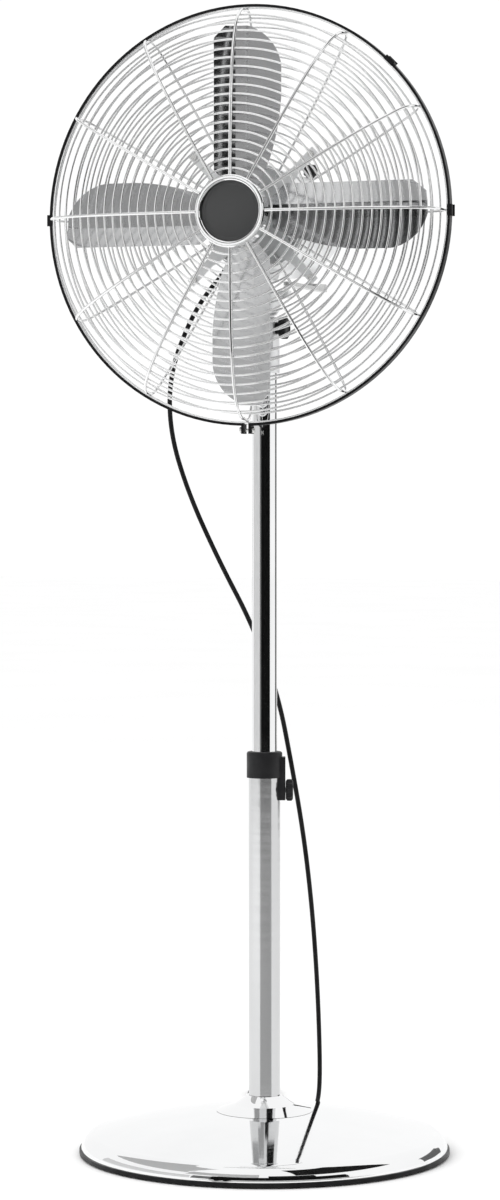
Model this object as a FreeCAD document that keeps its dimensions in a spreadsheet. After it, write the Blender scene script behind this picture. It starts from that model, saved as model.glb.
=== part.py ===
"""Pedestal fan with an oscillating, tilting head on a telescopic mast, built as a parametric
assembly of separate solids. Millimetres; origin on the floor on the mast's axis, +Z up, the
fan blows towards -Y and +X is at its right-hand side seen from the front."""

import FreeCAD
import Part
import Sketcher
import math
import os
import re

VECTOR = FreeCAD.Vector
X_DIR = VECTOR(1, 0, 0)
Y_DIR = VECTOR(0, 1, 0)
Z_DIR = VECTOR(0, 0, 1)

os.makedirs("parts", exist_ok=True)
doc = FreeCAD.newDocument("pedestal_fan")
sheet = doc.addObject("Spreadsheet::Sheet", "Sizes")

# Driving dimensions. Each is written once here; everything else is worked out from them.
SIZES = {
    # base
    "foot_pad_high": 2.5, "foot_pad_r": 9, "foot_inset": 30, "foot_count": 5,
    "base_r": 198, "base_wall": 1, "base_edge_r": 17, "base_edge_wide": 15.5, "base_skirt": 6,
    "dome_top": 48, "dome_fall": 29, "pan_hole_gap": 2,
    "trim_over": 2, "trim_wall": 3.5, "trim_drop": 1.5,
    "base_plate_thick": 1.2, "weight_inset": 20, "weight_thick": 9,
    "flange_r": 30, "flange_thick": 4, "socket_tall": 30, "flange_screws": 4,
    "flange_screw_r": 3, "flange_screw_tall": 3, "bolt_r": 5, "bolt_head_r": 8.5,
    "bolt_head_tall": 5, "washer_r": 14, "washer_thick": 1.5,
    "flare_r": 52, "flare_rise": 17, "flare_sheet": 1,
    # telescopic mast
    "outer_tube_r": 17, "outer_tube_wall": 1.4, "outer_tube_top": 428,
    "inner_tube_r": 13.5, "inner_tube_wall": 1.3, "inner_tube_foot": 225, "tube_below_tilt": 26,
    "bush_wall_gap": 0.05, "bush_tall": 46, "bush_lip": 2, "glide_gap": 0.3, "glide_tall": 24,
    # height clamp
    "collar_low": 406.6, "collar_top": 434.7, "collar_wall": 2.2, "collar_round": 2,
    "clamp_turn": 17.8, "clamp_z": 393, "clamp_boss_reach": 22.5, "clamp_boss_wide": 17,
    "clamp_boss_low": 382.5, "clamp_boss_drop": 6, "clamp_knob_r": 12, "clamp_knob_wide": 8,
    "clamp_screw_r": 3,
    "screw_gap": 0.05, "screw_past": 2, "grip_count": 10, "grip_r": 1.6,
    # tilt joint
    "tilt_below_cup": 16, "ear_thick": 5, "ear_gap": 0.3, "tongue_half": 7.7, "ear_r": 12,
    "fork_cup_wall": 3, "fork_cup_deep": 22, "fork_floor": 3, "tilt_bolt_r": 4, "bolt_gap": 0.05,
    "tilt_head_r": 7, "tilt_head_thick": 4, "tilt_knob_r": 12, "tilt_knob_wide": 13,
    "tilt_knob_neck": 4,
    # neck and swivel
    "neck_cup_r": 17, "neck_cup_tall": 24, "cup_below_motor": 19, "cup_chamfer": 4,
    "spindle_r": 5, "spindle_sunk": 18, "spindle_below_motor": 2, "swivel_gap": 0.3,
    "thrust_r": 7.5, "boss_r": 14, "thrust_tall": 11, "boss_flare": 4, "lug_reach": 24, "lug_r": 6,
    "lug_thick": 8,
    "lug_pin_r": 2.5, "lug_pin_tall": 5,
    # motor
    "axis_z": 1006, "motor_r": 57, "motor_wall": 1.5, "motor_front": -34, "motor_split": 40,
    "motor_round": 84, "motor_back": 150, "motor_end_r": 18, "cover_thick": 3,
    "motor_cap_bend": 70, "switch_long": 10, "switch_inset": 4,
    "shaft_r": 4, "bearing_r": 9, "bearing_long": 12, "bearing_gap": 0.05,
    "core_r": 33, "core_front": 0, "core_back": 28, "air_gap": 0.5,
    "coil_r": 7, "coil_clear": 2, "back_plate_y": 58, "back_plate_thick": 3,
    # worm drive of the swing
    "drive_x": 16, "drive_y": 118, "worm_r": 5.6, "worm_half": 9, "wheel_r": 10, "wheel_thick": 6,
    "drive_shaft_r": 3, "crank_r": 18, "crank_thick": 4, "crank_below_motor": 5, "throw": 14.5,
    "crank_pin_r": 2.5, "link_thick": 4, "link_wide": 9, "link_eye_r": 3, "link_gap": 0.4,
    "link_play": 2,
    "knob_below_crown": 3, "knob_tall": 16, "knob_r": 8, "knob_stem_r": 2.6, "knob_sink": 2,
    "stem_gap": 0.3,
    # guard
    "guard_r": 222, "guard_y": -60, "front_deep": 60, "rear_deep": 24, "ring_wire_r": 1.15,
    "spoke_wire_r": 1.6, "rim_wire_r": 1.8, "ring_clear": 7, "last_ring_inset": 12.1,
    "front_rings": 18, "rear_rings": 17, "spokes": 12, "rear_ring_clear": 14,
    "band_thick": 1, "band_half": 5, "band_lip": 2.6, "rim_apart": 4,
    "weld": 0.3, "clip_wide": 12, "clip_thick": 1.2, "clip_hook": 3, "clamp_ear": 9, "clamp_ear_thick": 3,
    "clamp_slot": 5, "ring_screw_r": 1.6, "ring_screw_head": 2.5, "ring_nut_thick": 2.4,
    "side_rings": 4,
    # hub of the guard and its rear bracket
    "hub_r": 38, "hub_bore_r": 32, "hub_face": -123, "hub_back": -108, "hub_round": 2,
    "badge_thick": 3, "badge_sink": 5, "hub_plate_thick": 1.5, "bracket_gap": 6.8, "bracket_thick": 3,
    "bracket_hub_r": 40, "bracket_bore_r": 17, "arm_reach": 98, "arm_root_wide": 26,
    "arm_tip_wide": 9, "arm_taper_long": 30, "arm_lap": 8, "bracket_screw_ring": 31,
    "bracket_screw_r": 3.2, "bracket_screw_tall": 1.8, "arm_screw_inset": 6,
    # rotor
    "blades": 4, "blade_r": 199, "blade_sheet": 1.5, "blade_straight": 31, "blade_round": 38,
    "blade_root": 30, "blade_root_right": 14, "blade_root_corner": 17, "blade_side_bend": 240,
    "blade_widest_below_tip": 54, "blade_tip_bend": 50, "blade_tip_right": 3,
    "blade_tip_left": 20, "blade_tip_corner": 13,
    "blade_y": -68, "fold_left": 10, "fold_right": 6, "fold_drop": 2, "lead_drop": 11.5,
    "tail_rise": 5, "spider_r": 21, "spider_thick": 2, "spider_arm": 52,
    "hub_sleeve_r": 11, "hub_lead": 4, "hub_tail": 16, "spinner_r": 13, "spinner_long": 14,
    "spinner_nose": 4, "rivet_r": 2.5, "rivet_tall": 1.2, "rivet_first": 34,
    "rivets_each": 2, "rivet_pitch": 13, "shaft_front": -97, "shaft_past_worm": 1,
    # speed knob
    "speed_r": 12, "speed_tall": 13, "speed_stem_r": 3,
    # cord
    "relief_y": 25, "relief_turn": 225, "cord_turn": 17.8, "first_run": 20, "hank_start": 216,
    "cord_r": 2.6, "relief_root_r": 6.5, "relief_root_past": 1, "relief_tip_wall": 0.8,
    "relief_long": 24, "hank_long": 96, "hank_wide": 36.4, "hank_tall": 19, "hank_round": 8,
    "hank_tail": 28, "tie_back": 40, "tie_wide": 10, "tie_thick": 1.2,
    "plug_wide": 26, "plug_long": 34, "plug_tall": 16,
    "nose_long": 10, "pin_r": 2, "pin_long": 19, "pin_apart": 19,
}
for row, (word, amount) in enumerate(SIZES.items(), start=1):
    sheet.set(f"A{row}", word)
    sheet.set(f"B{row}", str(amount))
    sheet.setAlias(f"B{row}", word)
doc.recompute()

PIECES = []
WORDS = re.compile(r"\b(" + "|".join(sorted(SIZES, key=len, reverse=True)) + r")\b")


def bound(expression):
    """The expression in the form that the document reads, with the sheet named."""
    return WORDS.sub(r"Sizes.\1", str(expression))


def size(expression):
    """The present value of an expression in the sheet's names."""
    return float(sheet.evalExpression(bound(expression)))


def bind(thing, **values):
    """Bind properties to expressions; Placement_Base_x stands for Placement.Base.x."""
    for name, expression in values.items():
        thing.setExpression(name.replace("_", "."), bound(expression))


def place(thing, at=("0", "0", "0"), axis=None, angle="0"):
    """Bind a thing's place, and turn it about an axis by an angle in degrees."""
    if axis is not None:
        thing.Placement = FreeCAD.Placement(VECTOR(0, 0, 0), FreeCAD.Rotation(axis, size(angle)))
        bind(thing, Placement_Rotation_Angle=angle)
    bind(thing, Placement_Base_x=at[0], Placement_Base_y=at[1], Placement_Base_z=at[2])
    return thing


def keep(thing, name):
    """List a finished object as a piece of the fan under its own name."""
    thing.Label = name
    PIECES.append((name, thing))
    return thing


def cylinder(radius, tall, at=("0", "0", "0"), axis=None, angle="0"):
    """A round bar that starts at a point and runs along +Z, or as turned."""
    thing = doc.addObject("Part::Cylinder", "bar")
    bind(thing, Radius=radius, Height=tall)
    return place(thing, at, axis, angle)


def bar_x(radius, start, stop, y="0", z="0"):
    """A round bar along X."""
    return cylinder(radius, f"({stop}) - ({start})", (start, y, z), Y_DIR, "90")


def bar_y(radius, start, stop, x="0", z="axis_z"):
    """A round bar along Y."""
    return cylinder(radius, f"({stop}) - ({start})", (x, start, z), X_DIR, "-90")


def box(wide, deep, tall, at, axis=None, angle="0"):
    """A block whose low corner, before it is turned, is at a point."""
    thing = doc.addObject("Part::Box", "block")
    bind(thing, Length=wide, Width=deep, Height=tall)
    return place(thing, at, axis, angle)


def fused(*things):
    """The things as one solid."""
    thing = doc.addObject("Part::MultiFuse", "fused")
    thing.Shapes = list(things)
    thing.Refine = True
    return thing


def cut(base, *tools):
    """The base with every tool taken out of it."""
    thing = doc.addObject("Part::Cut", "cut")
    thing.Base = base
    thing.Tool = tools[0] if len(tools) == 1 else group(*tools)
    return thing


def common(first, second):
    """What two things share."""
    thing = doc.addObject("Part::Common", "shared")
    thing.Base = first
    thing.Tool = second
    return thing


def group(*things):
    """Separate solids in one object."""
    thing = doc.addObject("Part::Compound", "group")
    thing.Links = list(things)
    return thing


def around(count, make, start=0.0):
    """A group of things made at equal angles: make gets each angle in degrees."""
    return group(*[make(start + 360.0 * step / count) for step in range(count)])


def origin_plane(body, role):
    """One of a body's own origin planes."""
    return next(item for item in body.Origin.OriginFeatures if item.Role == role)


def outline(body, role, corners):
    """A closed sketch on a body's plane. Each corner is (across, up) or (across, up, radius):
    the radius makes the edge from that corner to the next an arc, which bulges to the left of
    its direction of travel when negative and to the right when positive."""
    sketch = body.newObject("Sketcher::SketchObject", "outline")
    sketch.AttachmentSupport = [(origin_plane(body, role), "")]
    sketch.MapMode = "FlatFace"
    spots = [VECTOR(size(corner[0]), size(corner[1]), 0) for corner in corners]
    count = len(corners)
    joints = []
    for index, corner in enumerate(corners):
        first = spots[index]
        second = spots[(index + 1) % count]
        if len(corner) == 2:
            sketch.addGeometry(Part.LineSegment(first, second), False)
            joints.append((1, 2))
            continue
        radius = size(corner[2])
        half = (second - first).Length / 2
        run = (second - first).normalize()
        inward = VECTOR(-run.y, run.x, 0) * math.copysign(1, radius)
        centre = (first + second) / 2 + inward * math.sqrt(radius * radius - half * half)
        start, stop = (first, second) if radius > 0 else (second, first)
        begin = math.atan2(start.y - centre.y, start.x - centre.x)
        finish = math.atan2(stop.y - centre.y, stop.x - centre.x)
        if finish < begin:
            finish += 2 * math.pi
        circle = Part.Circle(centre, Z_DIR, abs(radius))
        sketch.addGeometry(Part.ArcOfCircle(circle, begin, finish), False)
        joints.append((1, 2) if radius > 0 else (2, 1))
    for index in range(count):
        following = (index + 1) % count
        sketch.addConstraint(Sketcher.Constraint(
            "Coincident", index, joints[index][1], following, joints[following][0]))
    for index, corner in enumerate(corners):
        for word, amount in (("DistanceX", 0), ("DistanceY", 1)):
            number = sketch.addConstraint(Sketcher.Constraint(
                word, -1, 1, index, joints[index][0], spots[index][amount]))
            sketch.renameConstraint(number, f"{word}{index}")
            sketch.setExpression(f"Constraints.{word}{index}", bound(corner[amount]))
        if len(corner) == 3:
            number = sketch.addConstraint(Sketcher.Constraint(
                "Radius", index, abs(size(corner[2]))))
            sketch.renameConstraint(number, f"bend{index}")
            sketch.setExpression(f"Constraints.bend{index}", bound(f"abs({corner[2]})"))
    return sketch


def turned(corners, axis="Z", at=("0", "0", "0")):
    """A turned solid. Corners are (radius, height along the axis); about X they are
    (place along the axis, radius)."""
    body = doc.addObject("PartDesign::Body", "turned")
    role = "XZ_Plane" if axis == "Z" else "XY_Plane"
    sketch = outline(body, role, corners)
    spun = body.newObject("PartDesign::Revolution", "spun")
    spun.Profile = sketch
    spun.ReferenceAxis = (sketch, ["H_Axis" if axis == "X" else "V_Axis"])
    spun.Angle = 360
    sketch.Visibility = False
    return place(body, at)


def slab(role, corners, thick, at=("0", "0", "0"), both=False, axis=None, angle="0"):
    """A flat or extruded solid: an outline padded along its plane's normal."""
    body = doc.addObject("PartDesign::Body", "slab")
    sketch = outline(body, role, corners)
    pad = body.newObject("PartDesign::Pad", "pad")
    pad.Profile = sketch
    bind(pad, Length=thick)
    pad.Midplane = both
    sketch.Visibility = False
    return place(body, at, axis, angle)


def shape_piece(shape, name):
    """A piece whose shape is worked out here from the sheet's sizes."""
    thing = doc.addObject("Part::Feature", name)
    thing.Shape = shape
    return keep(thing, name)


def hollow(outer, inner, low, top):
    """Corners of a plain turned tube."""
    return [(inner, low), (outer, low), (outer, top), (inner, top)]


def bent_path(points):
    """Straight runs through the points, joined by tangent arcs whose radius is 0.45 of the
    shorter run divided by the tangent of half the turn. Gives the wire and the radii."""
    edges = []
    radii = []
    last = points[0]
    for before, here, after in zip(points, points[1:], points[2:]):
        back = before - here
        ahead = after - here
        turn = math.pi - back.getAngle(ahead)
        shorter = min(back.Length, ahead.Length)
        reach = 0.45 * shorter
        radii.append(reach / math.tan(turn / 2))
        enter = here + VECTOR(back).normalize() * reach
        leave = here + VECTOR(ahead).normalize() * reach
        inward = (VECTOR(back).normalize() + VECTOR(ahead).normalize()).normalize()
        depth = radii[-1] * (1 / math.cos(turn / 2) - 1)
        edges.append(Part.LineSegment(last, enter).toShape())
        edges.append(Part.Arc(enter, here + inward * depth, leave).toShape())
        last = leave
    edges.append(Part.LineSegment(last, points[-1]).toShape())
    return Part.Wire(edges), radii


def rod(points, radius):
    """A round rod along a bent path."""
    wire, radii = bent_path(points)
    section = Part.Wire(Part.Circle(points[0], points[1] - points[0], radius).toShape())
    solid = wire.makePipeShell([section], True, False)
    return solid, wire, radii


# Levels of the head, from its axis down to the top of the sliding tube.
NECK_TOP = "(axis_z - motor_r - cup_below_motor)"
NECK_LOW = f"({NECK_TOP} - neck_cup_tall)"
TILT_Z = f"({NECK_LOW} - tilt_below_cup)"
TUBE_TOP = f"({TILT_Z} - tube_below_tilt)"
SPINDLE_FOOT = f"({NECK_TOP} - spindle_sunk)"
CRANK_TOP = "(axis_z - motor_r - crank_below_motor)"
KNOB_LOW = "(axis_z + motor_r - knob_below_crown)"

# ---------------------------------------------------------------- base (root body)
PLATE_TOP = "foot_pad_high + base_plate_thick"
WEIGHT_TOP = f"{PLATE_TOP} + weight_thick"
FLANGE_TOP = f"{WEIGHT_TOP} + flange_thick"
OUTER_BORE = "outer_tube_r - outer_tube_wall"
BUSH_TOP = "outer_tube_top + bush_lip"
SHOULDER_R = "base_r - base_edge_wide"
BALL_R = "base_r ^ 2 / (2 * dome_fall)"
PAN_HOLE = "washer_r + pan_hole_gap"


def dome_z(radius):
    """Height of the dome's outer face at a distance from the axis."""
    return f"dome_top - dome_fall * (({radius}) / base_r) ^ 2"


def polar_x(radius, angle):
    """Place across of a point at a distance and an angle in degrees, as an expression."""
    return f"({radius}) * cos({angle})"


def polar_y(radius, angle):
    """Place behind of a point at a distance and an angle in degrees, as an expression."""
    return f"({radius}) * sin({angle})"


def make_base():
    """The domed base: pads, pan, iron weight, chromed cover, edge trim and the mast's socket."""
    keep(around(int(size("foot_count")), lambda angle: cylinder(
        "foot_pad_r", "foot_pad_high",
        (polar_x("base_r - foot_inset", angle), polar_y("base_r - foot_inset", angle), "0"))),
        "base_feet")
    keep(turned(hollow("base_r", PAN_HOLE, "foot_pad_high", PLATE_TOP)), "base_pan")
    keep(turned(hollow("base_r - weight_inset", PAN_HOLE, PLATE_TOP, WEIGHT_TOP)), "base_weight")
    cover = turned([
        ("base_r - base_wall", PLATE_TOP), ("base_r", PLATE_TOP),
        ("base_r", "base_skirt", "base_edge_r"), (SHOULDER_R, dome_z(SHOULDER_R), BALL_R),
        ("outer_tube_r", dome_z("outer_tube_r")),
        ("outer_tube_r", dome_z("outer_tube_r") + " - base_wall", f"base_wall - {BALL_R}"),
        (SHOULDER_R, dome_z(SHOULDER_R) + " - base_wall", "base_wall - base_edge_r"),
        ("base_r - base_wall", "base_skirt")])
    keep(cover, "base_cover")
    trim = turned([
        ("base_r - trim_wall", "trim_drop"), ("base_r + trim_over", "trim_drop"),
        ("base_r + trim_over", "base_skirt"), ("base_r", "base_skirt"),
        ("base_r", "foot_pad_high"), ("base_r - trim_wall", "foot_pad_high")])
    keep(trim, "base_edge_trim")
    socket = turned([
        ("bolt_r", WEIGHT_TOP), ("flange_r", WEIGHT_TOP), ("flange_r", FLANGE_TOP),
        (OUTER_BORE, FLANGE_TOP), (OUTER_BORE, f"{FLANGE_TOP} + socket_tall"),
        ("bolt_r", f"{FLANGE_TOP} + socket_tall")])
    keep(socket, "mast_socket")
    screw_ring = "(flange_r + outer_tube_r) / 2"
    screws = around(int(size("flange_screws")), lambda angle: cylinder(
        "flange_screw_r", "flange_screw_tall",
        (polar_x(screw_ring, angle), polar_y(screw_ring, angle), FLANGE_TOP)), 45)
    washer = turned(hollow("washer_r", "bolt_r", f"{WEIGHT_TOP} - washer_thick", WEIGHT_TOP))
    head_top = f"{WEIGHT_TOP} - washer_thick"
    bolt = turned([
        ("0", f"{head_top} - bolt_head_tall"), ("bolt_head_r", f"{head_top} - bolt_head_tall"),
        ("bolt_head_r", head_top), ("bolt_r", head_top),
        ("bolt_r", f"{FLANGE_TOP} + socket_tall"), ("0", f"{FLANGE_TOP} + socket_tall")])
    keep(group(bolt, washer, screws), "socket_fixings")
    flare_low = dome_z("flare_r - 4 * flare_sheet")
    flare_top = f"{flare_low} + flare_rise"
    flare = turned([
        ("flare_r - 2 * flare_sheet", flare_low), ("flare_r", flare_low),
        ("flare_r * 0.62", "dome_top + flare_rise * 0.32", "-2 * flare_r"),
        ("outer_tube_r + 2 * flare_sheet", flare_top), ("outer_tube_r", flare_top),
        ("outer_tube_r", f"{flare_top} - flare_sheet"),
        ("flare_r * 0.6", "dome_top + flare_rise * 0.22", "2 * flare_r")])
    keep(flare, "base_flare")


def turned_bar(radius, start, stop, turn, side="0", up="0"):
    """A round bar that points outwards from the mast at the clamp's height, turned about the
    mast by an angle, and moved sideways and up from the clamp's own axis."""
    spin = size(turn)
    aim = FreeCAD.Rotation(Z_DIR, spin) * FreeCAD.Rotation(Y_DIR, 90)
    thing = doc.addObject("Part::Cylinder", "bar")
    bind(thing, Radius=radius, Height=f"({stop}) - ({start})")
    thing.Placement = FreeCAD.Placement(VECTOR(0, 0, 0), aim)
    bind(thing, Placement_Base_x=f"({start}) * cos({turn}) - ({side}) * sin({turn})",
         Placement_Base_y=f"({start}) * sin({turn}) + ({side}) * cos({turn})",
         Placement_Base_z=f"clamp_z + ({up})")
    return thing


def make_clamp():
    """The outer tube and the height clamp at its top, with its bush, screw and knob."""
    turn = "clamp_turn"
    bush_bore = "inner_tube_r + bush_wall_gap"
    bush = turned([
        (bush_bore, "outer_tube_top - bush_tall"), (OUTER_BORE, "outer_tube_top - bush_tall"),
        (OUTER_BORE, "outer_tube_top"), ("outer_tube_r", "outer_tube_top"),
        ("outer_tube_r", BUSH_TOP), (bush_bore, BUSH_TOP)])
    hole = turned_bar("clamp_screw_r + screw_gap", "inner_tube_r - 1", "clamp_boss_reach + 1", turn)
    tube = turned(hollow("outer_tube_r", OUTER_BORE, FLANGE_TOP, "outer_tube_top"))
    keep(cut(tube, hole), "outer_tube")
    keep(cut(bush, hole), "collar_bush")
    ring = turned([
        ("outer_tube_r", "collar_low"), ("outer_tube_r + collar_wall", "collar_low"),
        ("outer_tube_r + collar_wall", "collar_top - collar_round", "collar_round * 1.2"),
        ("outer_tube_r + collar_wall - collar_round", "collar_top"),
        ("inner_tube_r + glide_gap", "collar_top"),
        ("inner_tube_r + glide_gap", BUSH_TOP), ("outer_tube_r", BUSH_TOP)])
    boss = box("clamp_boss_reach", "clamp_boss_wide",
               "collar_top - clamp_boss_drop - clamp_boss_low",
               (f"clamp_boss_wide / 2 * sin({turn})", f"-clamp_boss_wide / 2 * cos({turn})",
                "clamp_boss_low"), Z_DIR, turn)
    core = cylinder("outer_tube_r", "collar_top - clamp_boss_low", ("0", "0", "clamp_boss_low"))
    keep(cut(fused(ring, cut(boss, core)), hole), "height_collar")
    keep(turned_bar("clamp_screw_r", "inner_tube_r + glide_gap", "clamp_boss_reach + screw_past",
                    turn), "height_screw")
    knob_in = "clamp_boss_reach + glide_gap"
    grip = turned_bar("clamp_knob_r", knob_in, f"{knob_in} + clamp_knob_wide", turn)
    seat = turned_bar("clamp_screw_r", "inner_tube_r", "clamp_boss_reach + screw_past", turn)
    count = int(size("grip_count"))
    flutes = [turned_bar("grip_r", knob_in + " - 1", f"{knob_in} + clamp_knob_wide + 1", turn,
                         polar_x("clamp_knob_r", 360.0 * step / count),
                         polar_y("clamp_knob_r", 360.0 * step / count)) for step in range(count)]
    keep(cut(grip, seat, *flutes), "height_knob")


# ---------------------------------------------------------------- mast body
FORK_LOW = f"{TUBE_TOP} - fork_cup_deep"
FORK_TOP = f"{TUBE_TOP} + fork_floor"


def make_mast():
    """The sliding inner tube, its glide, the fork at its top and the tilt bolt."""
    keep(turned(hollow("inner_tube_r", "inner_tube_r - inner_tube_wall", "inner_tube_foot",
                       TUBE_TOP)), "inner_tube")
    keep(turned(hollow(f"{OUTER_BORE} - glide_gap", "inner_tube_r", "inner_tube_foot",
                       "inner_tube_foot + glide_tall")), "inner_tube_glide")
    cup = turned([
        ("inner_tube_r", FORK_LOW), ("inner_tube_r + fork_cup_wall", FORK_LOW),
        ("inner_tube_r + fork_cup_wall", FORK_TOP), ("0", FORK_TOP), ("0", TUBE_TOP),
        ("inner_tube_r", TUBE_TOP)])
    ears = []
    for start in ("tongue_half + ear_gap", "-tongue_half - ear_gap - ear_thick"):
        ears.append(box("ear_thick", "2 * ear_r", f"{TILT_Z} - ({FORK_TOP})",
                        (start, "-ear_r", FORK_TOP)))
        ears.append(bar_x("ear_r", start, f"{start} + ear_thick", z=TILT_Z))
    reach = "tongue_half + ear_gap + ear_thick"
    bore = bar_x("tilt_bolt_r", f"-({reach})", reach, z=TILT_Z)
    keep(cut(fused(cup, *ears), bore), "mast_fork")
    bolt = turned([
        (f"-({reach}) - tilt_head_thick", "0"), (f"{reach} + tilt_knob_wide * 0.8", "0"),
        (f"{reach} + tilt_knob_wide * 0.8", "tilt_bolt_r"), (f"-({reach})", "tilt_bolt_r"),
        (f"-({reach})", "tilt_head_r"), (f"-({reach}) - tilt_head_thick", "tilt_head_r")],
        "X", ("0", "0", TILT_Z))
    keep(bolt, "tilt_bolt")
    knob_in = f"{reach} + glide_gap"
    knob_step = f"{knob_in} + tilt_knob_neck"
    knob_out = f"{knob_in} + tilt_knob_wide"
    knob = turned([
        (knob_in, "tilt_bolt_r + bolt_gap"), (knob_in, "tilt_knob_r * 0.6"),
        (knob_step, "tilt_knob_r * 0.6"), (knob_step, "tilt_knob_r"),
        (knob_out, "tilt_knob_r"), (knob_out, "tilt_bolt_r + bolt_gap")], "X", ("0", "0", TILT_Z))
    count = int(size("grip_count"))
    flutes = [bar_x("grip_r", f"{knob_step} - 1", f"{knob_out} + 1",
                    polar_x("tilt_knob_r", 360.0 * step / count),
                    f"{TILT_Z} + " + polar_y("tilt_knob_r", 360.0 * step / count))
              for step in range(count)]
    keep(cut(knob, *flutes), "tilt_knob")


# ---------------------------------------------------------------- neck body
def make_neck():
    """The neck that tilts in the fork, its swivel spindle and the lug for the drive link."""
    tongue = box("2 * tongue_half", "2 * ear_r - 2", f"{NECK_LOW} - {TILT_Z}",
                 ("-tongue_half", "1 - ear_r", TILT_Z))
    eye = bar_x("ear_r - 1", "-tongue_half", "tongue_half", z=TILT_Z)
    cup = turned([
        ("0", f"{NECK_LOW} - cup_chamfer / 2"),
        ("neck_cup_r - cup_chamfer", f"{NECK_LOW} - cup_chamfer / 2"),
        ("neck_cup_r", f"{NECK_LOW} + cup_chamfer"), ("neck_cup_r", NECK_TOP), ("0", NECK_TOP)])
    lug_low = f"{NECK_TOP} - lug_thick"
    lug = box("lug_reach", "2 * lug_r", "lug_thick", ("0", "-lug_r", lug_low))
    lug_end = cylinder("lug_r", "lug_thick", ("lug_reach", "0", lug_low))
    bolt_way = bar_x("tilt_bolt_r + bolt_gap", "-tongue_half - 1", "tongue_half + 1", z=TILT_Z)
    seat = cylinder("spindle_r", "spindle_sunk", ("0", "0", SPINDLE_FOOT))
    stud = cylinder("lug_pin_r", "lug_pin_tall", ("lug_reach", "0", NECK_TOP))
    keep(cut(fused(tongue, eye, cup, lug, lug_end, stud), bolt_way, seat), "neck")
    spindle_tall = "spindle_sunk + cup_below_motor - spindle_below_motor"
    keep(cylinder("spindle_r", spindle_tall, ("0", "0", SPINDLE_FOOT)), "swivel_spindle")


# ---------------------------------------------------------------- head body: motor
def aim(thing, start):
    """Place a bar made along +Z so that it points out of the housing where the cord leaves."""
    turn = FreeCAD.Rotation(Y_DIR, size("relief_turn"))
    thing.Placement = FreeCAD.Placement(VECTOR(0, 0, 0), turn)
    bind(thing, Placement_Base_x=f"({start}) * sin(relief_turn)", Placement_Base_y="relief_y",
         Placement_Base_z=f"axis_z + ({start}) * cos(relief_turn)")
    return thing


def aimed_bar(radius, start, stop):
    """A round bar along the line on which the cord leaves the housing."""
    thing = doc.addObject("Part::Cylinder", "bar")
    bind(thing, Radius=radius, Height=f"({stop}) - ({start})")
    return aim(thing, start)


def make_motor():
    """The motor's housing, its swivel boss and what is inside it that doesn't turn."""
    inner = "motor_r - motor_wall"
    cover = turned([
        ("bearing_r", "motor_front"), ("motor_r", "motor_front"),
        ("motor_r", "motor_front + cover_thick"), ("bearing_r + 3", "motor_front + cover_thick"),
        ("bearing_r + 3", "motor_front + bearing_long"),
        ("bearing_r", "motor_front + bearing_long")], "Y", ("0", "0", "axis_z"))
    keep(cover, "motor_front_cover")
    bore = "shaft_r + bearing_gap"
    bearings = [turned(hollow("bearing_r", bore, start, f"{start} + bearing_long"), "Y",
                       ("0", "0", "axis_z")) for start in ("motor_front", "back_plate_y - 3")]
    keep(group(*bearings), "shaft_bearings")
    shell = turned(hollow("motor_r", inner, "motor_front + cover_thick", "motor_split"), "Y",
                   ("0", "0", "axis_z"))
    gland = aimed_bar("relief_root_r", inner, "motor_r + relief_root_past")
    keep(cut(shell, gland), "motor_housing")
    back = turned([
        (inner, "motor_split"), ("motor_r", "motor_split"), ("motor_r", "motor_round", "motor_cap_bend"),
        ("motor_end_r", "motor_back"), ("speed_stem_r + stem_gap", "motor_back"),
        ("speed_stem_r + stem_gap", "motor_back - motor_wall"),
        ("motor_end_r - motor_wall", "motor_back - motor_wall", "motor_wall - motor_cap_bend"),
        (inner, "motor_round")], "Y", ("0", "0", "axis_z"))
    stem_way = cylinder("knob_stem_r + stem_gap", "motor_r + 5", ("drive_x", "drive_y", "axis_z"))
    shaft_way = cylinder("drive_shaft_r + stem_gap", "motor_r + 5",
                         ("drive_x", "drive_y", "axis_z - motor_r - 5"))
    keep(cut(back, stem_way, shaft_way), "gearbox_cover")
    plate = hollow(inner, "bearing_r", "back_plate_y", "back_plate_y + back_plate_thick")
    keep(turned(plate, "Y", ("0", "0", "axis_z")), "motor_back_plate")
    keep(turned(hollow(inner, "core_r + air_gap", "core_front", "core_back"), "Y",
                ("0", "0", "axis_z")), "stator")
    coils = []
    for middle in ("core_front - coil_r", "core_back + coil_r"):
        coil = doc.addObject("Part::Torus", "coil")
        bind(coil, Radius1="core_r + air_gap + coil_r + coil_clear", Radius2="coil_r")
        coils.append(place(coil, ("0", middle, "axis_z"), X_DIR, "-90"))
    keep(group(*coils), "stator_coils")
    boss_top = "axis_z - motor_r + boss_flare + 2"
    boss = turned([
        ("spindle_r + bolt_gap", f"{NECK_TOP} + swivel_gap"),
        ("thrust_r", f"{NECK_TOP} + swivel_gap"), ("thrust_r", f"{NECK_TOP} + thrust_tall"),
        ("boss_r", f"{NECK_TOP} + thrust_tall"), ("boss_r + boss_flare", boss_top),
        ("spindle_r + bolt_gap", boss_top)])
    keep(cut(boss, bar_y("motor_r", "-3 * boss_r", "3 * boss_r")), "swivel_boss")
    switch_y = "motor_back - motor_wall - switch_long"
    keep(bar_y("motor_end_r - switch_inset", switch_y, "motor_back - motor_wall"),
         "speed_switch")
    relief_root = aimed_bar("relief_root_r", inner, "motor_r + relief_root_past")
    cone = doc.addObject("Part::Cone", "relief")
    bind(cone, Radius1="relief_root_r", Radius2="cord_r + relief_tip_wall",
         Height="relief_long - relief_root_past")
    aim(cone, "motor_r + relief_root_past")
    keep(fused(relief_root, cone), "strain_relief")


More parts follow.
